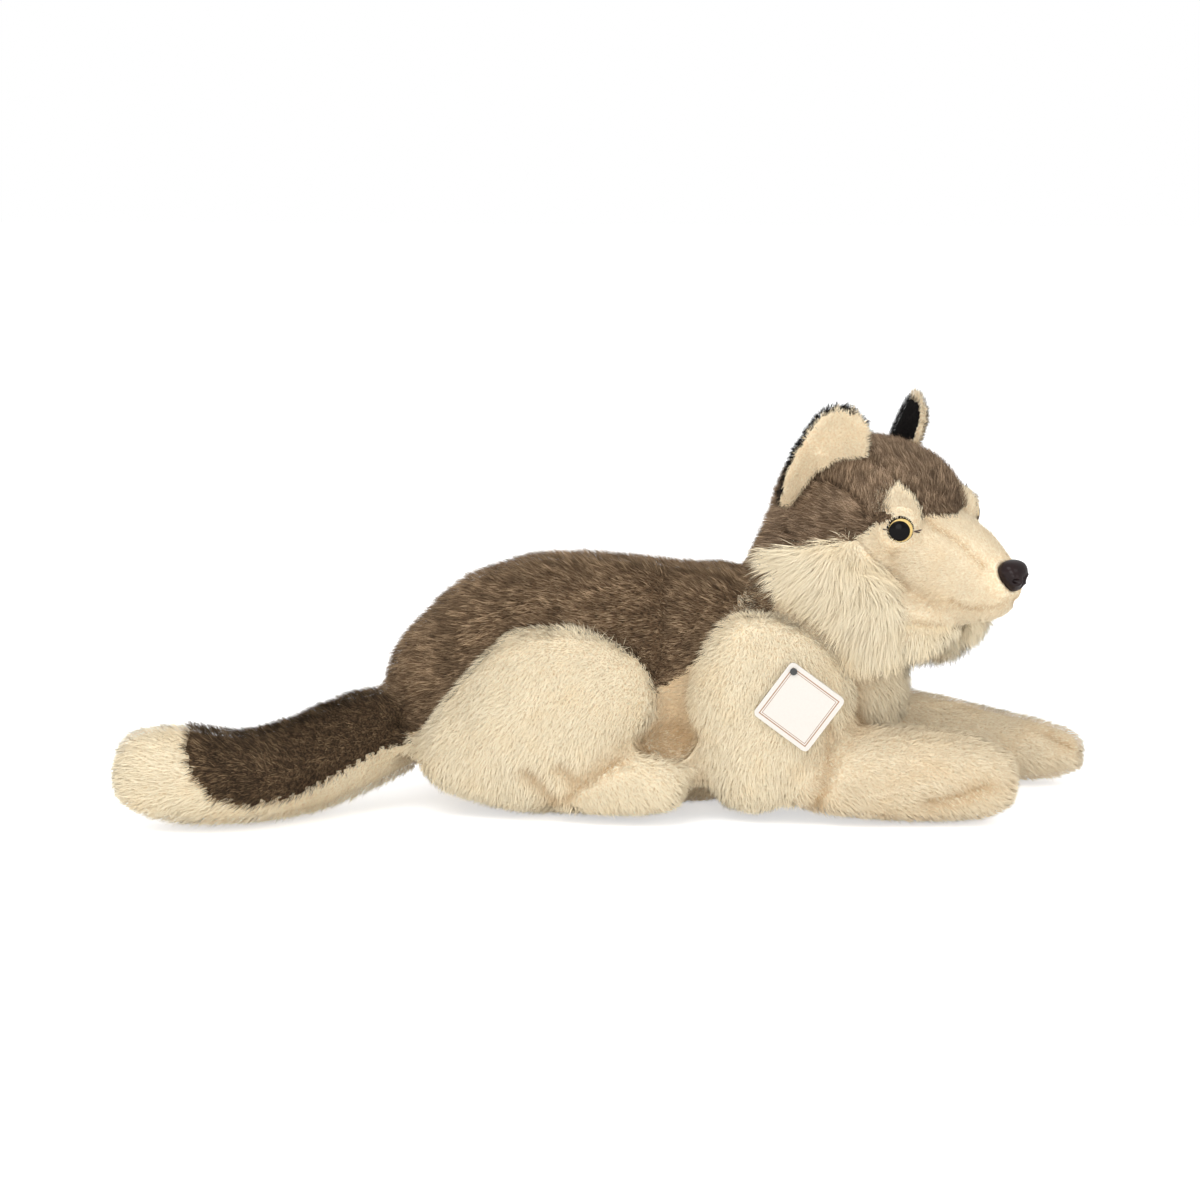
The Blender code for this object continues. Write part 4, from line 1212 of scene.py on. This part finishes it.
class WOLF_OT_head(bpy.types.Operator):
    """Make the head's padded skin and its pile"""
    bl_idname = "wolf.head"
    bl_label = "Head"

    def execute(self, context):
        sizes = context.scene.wolf_sizes
        seams = both_sides((CHEEK_SEAM, BRIDGE_SEAM, MOUTH_LINE, JAW_CREASE))
        creases = both_sides((CHEEK_CREASE,))

        def to_eye(local):
            return np.linalg.norm(local - on_own_side(EYE_PLACE, local), axis=1)

        def to_nose(local):
            return np.linalg.norm(local - np.array(NOSE_TIP), axis=1)

        def depth(places):
            local = to_head(places)
            full = np.where(above_crown_edge(local) > 0, sizes.face_depth * 1.2, sizes.face_depth)
            full = full * np.interp(local[:, 0], (0.045, 0.080), (1, 0.62))
            lid = np.interp(to_eye(local), (0.0096, 0.0126, 0.019), (-0.85, 0.05, 1))
            return full * lid * np.interp(to_nose(local), (0.012, 0.020), (0.3, 1))

        def tuck(places):
            local = to_head(places)
            below = np.interp(-above_crown_edge(local), (0.0, 0.010), (0, 1))
            return HEAD_TUCK * below * np.interp(behind_cheek(local), (0.001, 0.012), (0, 1))

        def pressed(seam_width, crease_share, crease_width):
            """A function of places that is near 1 in the seams and gives a share in the creases."""
            def at(places):
                local = to_head(places)
                return np.maximum(0.95 * nearest_of(local, seams, seam_width),
                                  crease_share * nearest_of(local, creases, crease_width))
            return at

        def comb(places):
            """Away from the nose, up on the brows, and toward the eye right round its rim."""
            local = to_head(places)
            inward = np.interp(to_eye(local), (0.0105, 0.0135), (1, 0))[:, None]
            brow = (np.interp(local[:, 2], (0.006, 0.012), (0, 1)) * (local[:, 0] < 0.056)
                    * (np.abs(np.abs(local[:, 1]) - 0.0295) < 0.011))[:, None]
            way = from_nose(places) * (1 - brow) + turned_by(HEAD, np.array((-0.1, 0, 1.0))) * brow
            to_socket = turned_by(HEAD, unit(on_own_side(EYE_PLACE, local) - local))
            return unit(way) * (1 - inward) + to_socket * inward

        def trim(places):
            local = to_head(places)
            gap = to_eye(local)
            near = np.where(gap < 0.0084, 0, np.interp(gap, (0.0086, 0.018), (0.62, 1)))
            near = near * np.interp(to_nose(local), (0.010, 0.020), (0.4, 1))
            return near * np.interp(local[:, 0], (0.020, 0.095), (1.15, 0.75))

        skin = skin_over("head_skin", HEAD_COVERS, HEAD_FILLINGS, sizes.head_voxel, depth,
                         pressed(0.0026, 0.4, 0.0030), sizes.swell * 0.4, calming=8, tuck=tuck)
        paint_panels(skin, HEAD_COVERS, ("face backing", "crown backing"),
                     lambda cover: cover in BROWN_COVERS)
        pile = sizes.face_pile
        # Seams and creases mark the face's pile, which grows shorter there and is painted darker as shade
        short = dict(trim=trim, marks=pressed(0.0016, 0.35, 0.0025), tuft=0.003, width=0.8, lean=58)
        pale = dict(material="face pile", crowd=0.5, **short)
        brown = dict(material="crown pile", slot="brown_plush", ruffle=0.3, **short)
        face = [
            Coat(pile, comb, 2.0, on_face, **pale),
            Coat(sizes.throat_pile, in_head(0.25, 0, -1), 1.7, on_throat, throat_taper, lean=42,
                 material="throat pile", uneven=0.45, tuft=0.005),
            Coat(pile * 1.5, comb, 2.0, beside_brow, **brown),
        ]
        coats = {cover: face for cover in HEAD_COVERS}
        coats["crown_cover"] = [Coat(pile * 1.7, comb, 1.9, crowd=1.6, **{**brown, "tuft": 0.0035})]
        coats["bridge_cover"] = [Coat(pile * 0.85, comb, 2.0, **pale)]
        grow_coats(skin, HEAD_COVERS, coats, ("", "_throat", "_brown"), HEAD_SEED)
        return {"FINISHED"}


class WOLF_OT_ears(bpy.types.Operator):
    """Make the ears, cream in front and black behind"""
    bl_idname = "wolf.ears"
    bl_label = "Ears"

    def execute(self, context):
        pile = context.scene.wolf_sizes.ear_pile
        fine = dict(tuft=0.003, width=0.75, crowd=0.7, uneven=0.5, curl=0.35, mixing=0.05)
        for name, side in LEFT_RIGHT:
            covers = ["ear_front_" + name, "ear_back_" + name]
            skin = skin_over("ear_skin_" + name, covers, [], EAR_VOXEL, everywhere(EAR_DEPTH),
                             everywhere(0.0), EAR_SWELL)
            shift_border(skin.data, EAR_SPLIT[name], EAR_SHIFT)
            paint_panels(skin, covers, ("ear front backing", "ear back backing"),
                         lambda cover: "back" in cover)
            base = np.array(HEAD @ Vector((EAR_PLACE[0], side * EAR_PLACE[1], EAR_PLACE[2])))
            fan = fan_from(places_of(skin.data).mean(0))
            front = Coat(pile * 0.85, fan, 2.6, marks=shaded_near(base), material="ear front pile", lean=52,
                         **fine)
            back = Coat(pile, fan, 2.4, material="ear back pile", slot="black_plush", lean=56, **fine)
            grow("ear_front_pile_" + name, skin, 0, front, EAR_FRONT_SEED + side)
            grow("ear_back_pile_" + name, skin, 1, back, EAR_BACK_SEED + side)
        return {"FINISHED"}


class WOLF_OT_eyes(bpy.types.Operator):
    """Make the glass eyes on their shanks, and the thread at their corners"""
    bl_idname = "wolf.eyes"
    bl_label = "Eyes"

    def execute(self, context):
        sizes, tones = context.scene.wolf_sizes, context.scene.wolf_colours
        radius = sizes.eye_radius
        graph = Graph("eye glass")
        rings = graph.node("Attribute", attribute_name="rings").outputs["Color"]
        rim, middle, _ = graph.node("SeparateColor", {"Color": rings}).outputs
        amber = graph.mix(graph.spread(graph.noise(900, 3), 0.3, 0.7), opaque(tones.amber, 0.75),
                          opaque(tones.amber, 1.25))
        tone = graph.mix(graph.spread(middle, 0.74, 0.77), opaque(tones.pupil), amber)
        tone = graph.mix(graph.spread(rim, 0.85, 0.88), tone, opaque(tones.pupil))
        glass = graph.set(colour=tone, roughness=0.4, coat=0.14, coat_roughness=0.03, specular=0.0)
        graph = Graph("thread")
        tone = graph.mix(graph.noise(2500), opaque(tones.thread), opaque(tones.thread, 2))
        thread = graph.set(colour=tone, roughness=0.7)
        # The glass is a quarter of an ellipse, as wide as the radius and as high as the dome,
        # turned about its axis and closed by the profile of its back and its shank
        rise = np.linspace(0, math.pi / 2, 24)
        dome = np.stack([radius * np.sin(rise), 0.001 + sizes.eye_dome * np.cos(rise)], -1)
        profile = np.vstack([dome, ((radius, 0.0003), (radius - 0.0005, 0)), EYE_BACK])
        for name, side in LEFT_RIGHT:
            facing = Vector((math.cos(EYE_FACING), side * math.sin(EYE_FACING), 0))
            onward = Vector((math.sin(EYE_FACING), -side * math.cos(EYE_FACING), 0))
            turn = Matrix((onward, Vector((0, 0, 1)), facing)).transposed().to_4x4()
            pose = HEAD @ Matrix.Translation((EYE_PLACE[0], side * EYE_PLACE[1], EYE_PLACE[2])) @ turn

            def placed(piece_name, places, quads, material, slot):
                """A closed mesh of the eye's own frame as a piece in its place."""
                mesh = closed_mesh(piece_name, places, quads)
                if material is glass:
                    paint(mesh, "rings", rings_of(places_of(mesh), radius))
                mesh.transform(pose)
                reworked(mesh, face_outwards)
                mesh.materials.append(material)
                return new_piece(piece_name, mesh)

            ball = placed("eye_glass_" + name, *turned(profile, EYE_SIDES), glass, "eye_plastic")
            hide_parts("eye_" + name)
            for number, (start, end, lift) in enumerate(EYE_THREADS, 1):
                line = smooth_line(((start, 0, 0.0040), ((start + end) / 2, lift / 2, 0.0042),
                                    (end, lift, 0.0034)), 12)
                placed("eye_thread_%s_%d" % (name, number), *tube(line, THREAD_RADIUS), thread,
                       "black_plush")
        return {"FINISHED"}


class WOLF_OT_nose(bpy.types.Operator):
    """Make the moulded nose with its nostrils"""
    bl_idname = "wolf.nose"
    bl_label = "Nose"

    def execute(self, context):
        # A ball whose three coordinates are raised to a power, which squares it a little, and
        # stretched by half the nose's length, width and height. It narrows toward its
        # underside. A nostril is a bell-shaped dip with a bell-shaped rim round it, by the
        # distance from its middle, and the crease under it a bell across the nose's width.
        tones = context.scene.wolf_colours
        around = np.linspace(0, math.tau, NOSE_SIDES, endpoint=False)
        down = np.linspace(0, math.pi, NOSE_RINGS)
        u, v = np.meshgrid(down, around, indexing="ij")
        x, y, z = np.cos(u), np.sin(u) * np.cos(v), np.sin(u) * np.sin(v)
        x, y, z = (np.sign(w) * np.abs(w) ** NOSE_POWER for w in (x, y, z))
        half_length, half_width, half_height = NOSE_HALF
        width = half_width * (1 + 0.5 * (z - 1) / 2)
        places = np.stack([NOSE_TIP[0] - 0.003 + x * half_length, y * width,
                           NOSE_TIP[2] + z * half_height], -1)
        front = np.clip(x * 3, 0, 1)
        for side in (1, -1):
            gap = np.hypot((y - side * NOSTRIL_PLACE[0]) * 0.9, (z - NOSTRIL_PLACE[1]) * 1.25)
            places[..., 0] -= 0.0030 * np.exp(-(gap / 0.17) ** 2) * front
            places[..., 0] += 0.0008 * np.exp(-((gap - 0.34) / 0.13) ** 2) * front
        places[..., 0] -= 0.0009 * np.exp(-(y / 0.07) ** 2) * (z < 0.1) * front
        mesh = closed_mesh("nose_moulding", places.reshape(-1, 3), ring_quads(NOSE_RINGS, NOSE_SIDES))
        mesh.transform(HEAD)
        graph = Graph("nose plastic")
        tone = graph.mix(graph.spread(graph.noise(160), 0.35, 0.65), opaque(tones.nose),
                         opaque(tones.nose, 1.4))
        graph.set(colour=tone, roughness=0.45, coat=0.22, coat_roughness=0.12, specular=0.05,
                  normal=graph.bump(graph.noise(1400), 0.00012, 0.3))
        mesh.materials.append(graph.owner)
        moulding = new_piece("nose_moulding", mesh)
        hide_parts("nose")
        return {"FINISHED"}


class WOLF_OT_inside(bpy.types.Operator):
    """Finish the washers, the tag's pin and the tag's card"""
    bl_idname = "wolf.inside"
    bl_label = "Washers and tag"

    def execute(self, context):
        tones, border = context.scene.wolf_colours, context.scene.wolf_sizes.tag_border
        graph = Graph("washer plastic")
        tone = graph.mix(graph.spread(graph.noise(300), 0.3, 0.7), (0.70, 0.69, 0.66, 1),
                         (0.80, 0.79, 0.76, 1))
        washer = graph.set(colour=tone, roughness=0.45)
        graph = Graph("tag pin plastic")
        tone = graph.mix(graph.noise(400), (0.010, 0.010, 0.010, 1), (0.03, 0.03, 0.03, 1))
        pin = graph.set(colour=tone, roughness=0.35)
        graph = Graph("tag card")
        fibre = graph.noise(900, 4)
        paper = graph.mix(graph.spread(fibre, 0.3, 0.7), opaque(tones.card, 0.96), opaque(tones.card))
        flat = graph.node("Mapping", {"Vector": graph.place(), "Location": TAG_CENTRE,
                                      "Rotation": (0, TAG_TURN, 0)}, vector_type="TEXTURE")
        across = graph.node("SeparateXYZ", {"Vector": flat.outputs["Vector"]})
        edge = graph.maths("MAXIMUM", graph.maths("ABSOLUTE", across.outputs["X"]),
                           graph.maths("ABSOLUTE", across.outputs["Z"]))
        for inset, half in TAG_LINES:
            gap = graph.maths("ABSOLUTE", graph.maths("SUBTRACT", edge, TAG_HALF - border - inset))
            line = graph.spread(gap, half, half + LINE_EDGE, 1.0, 0.0)
            paper = graph.mix(line, paper, opaque(tones.card_line))
        card = graph.set(colour=paper, roughness=0.5, normal=graph.bump(fibre, 0.00005, 0.3))
        for node, material in (("eye_washer_left", washer), ("eye_washer_right", washer),
                               ("nose_washer", washer), ("tag_pin", pin), ("hang_tag", card)):
            NODES[node].data.materials.clear()
            NODES[node].data.materials.append(material)
        return {"FINISHED"}


class WOLF_OT_stage(bpy.types.Operator):
    """Set up the floor, the lamps, the surroundings and the camera"""
    bl_idname = "wolf.stage"
    bl_label = "Stage"

    def execute(self, context):
        scene = context.scene
        stage = scene.wolf_stage
        corners = FLOOR_REACH * np.array([(-1, -1, 0), (1, -1, 0), (1, 1, 0), (-1, 1, 0)])
        floor = bpy.data.objects.new("floor", mesh_of("floor", corners, np.array([(0, 1, 2, 3)])))
        scene.collection.objects.link(floor)
        graph = Graph("floor paper")
        graph.set(colour=FLOOR_TONE, roughness=0.9, specular=0.0)
        strength = graph.maths("MULTIPLY", graph.seen_directly(), FLOOR_GLOW)
        glow = graph.node("Emission", {"Color": WHITE, "Strength": strength})
        both = graph.node("AddShader")
        graph.put(both.inputs[0], graph.shader.outputs[0])
        graph.put(both.inputs[1], glow.outputs[0])
        graph.put(graph.tree.nodes["Material Output"].inputs["Surface"], both.outputs[0])
        floor.data.materials.append(graph.owner)

        studio = Graph("studio", "worlds")
        studio.tree.nodes.clear()
        even = studio.node("Background", {"Color": WHITE, "Strength": stage.ambient})
        white = studio.node("Background", {"Color": WHITE, "Strength": 1.0})
        both = studio.node("MixShader")
        for socket, source in zip(both.inputs, (studio.seen_directly(), even.outputs[0], white.outputs[0])):
            studio.put(socket, source)
        studio.node("OutputWorld", {"Surface": both.outputs[0]})
        scene.world = studio.owner

        def lamp(name, place, size, power):
            light = bpy.data.lights.new(name, "AREA")
            light.shape = "DISK"
            light.size = size
            light.energy = power
            holder = bpy.data.objects.new(name, light)
            holder.location = place
            aim = Vector(LAMP_AIM) - Vector(place)
            holder.rotation_euler = aim.to_track_quat("-Z", "Y").to_euler()
            scene.collection.objects.link(holder)

        lamp("key lamp", (-0.5, -1.3, 1.9), 1.5, stage.lamp_power)
        lamp("front lamp", (0.1, -2.3, 0.45), 1.4, stage.lamp_power)
        lamp("fill lamp", (1.6, -1.2, 1.1), 1.2, stage.lamp_power * 0.3)

        # The camera lies its distance from the target, turned by azimuth and raised by elevation
        aim = Vector((0, 0, stage.target_height))
        a, e = stage.azimuth, stage.elevation
        back = Vector((math.sin(a) * math.cos(e), -math.cos(a) * math.cos(e), math.sin(e)))
        camera = bpy.data.objects.new("camera", bpy.data.cameras.new("camera"))
        camera.location = aim + back * stage.distance
        camera.rotation_euler = (-back).to_track_quat("-Z", "Y").to_euler()
        camera.data.sensor_width = SENSOR_WIDTH
        camera.data.lens = SENSOR_WIDTH * stage.distance / stage.frame_width
        scene.collection.objects.link(camera)
        scene.camera = camera
        scene.view_settings.view_transform = "Standard"
        return {"FINISHED"}


OPERATORS = (WOLF_OT_stage, WOLF_OT_body, WOLF_OT_head, WOLF_OT_ears, WOLF_OT_eyes, WOLF_OT_nose,
             WOLF_OT_inside)


class WOLF_PT_panel(bpy.types.Panel):
    """Lists the steps that dress the wolf"""
    bl_label = "Plush Wolf"
    bl_idname = "WOLF_PT_panel"
    bl_space_type = "VIEW_3D"
    bl_region_type = "UI"
    bl_category = "Plush Wolf"

    def draw(self, context):
        for operator in OPERATORS:
            self.layout.operator(operator.bl_idname)
        for group in (context.scene.wolf_colours, context.scene.wolf_sizes, context.scene.wolf_stage):
            box = self.layout.box()
            for name in group.__annotations__:
                box.prop(group, name)


CLASSES = (WolfColours, WolfSizes, WolfStage, *OPERATORS, WOLF_PT_panel)


def register():
    for made in CLASSES:
        bpy.utils.register_class(made)
    bpy.types.Scene.wolf_colours = bpy.props.PointerProperty(type=WolfColours)
    bpy.types.Scene.wolf_sizes = bpy.props.PointerProperty(type=WolfSizes)
    bpy.types.Scene.wolf_stage = bpy.props.PointerProperty(type=WolfStage)


def unregister():
    del bpy.types.Scene.wolf_stage
    del bpy.types.Scene.wolf_sizes
    del bpy.types.Scene.wolf_colours
    for made in reversed(CLASSES):
        bpy.utils.unregister_class(made)


def main():
    register()
    bpy.ops.wolf.stage()
    bpy.ops.wolf.body()
    bpy.ops.wolf.head()
    bpy.ops.wolf.ears()
    bpy.ops.wolf.eyes()
    bpy.ops.wolf.nose()
    bpy.ops.wolf.inside()


if __name__ == "__main__":
    main()
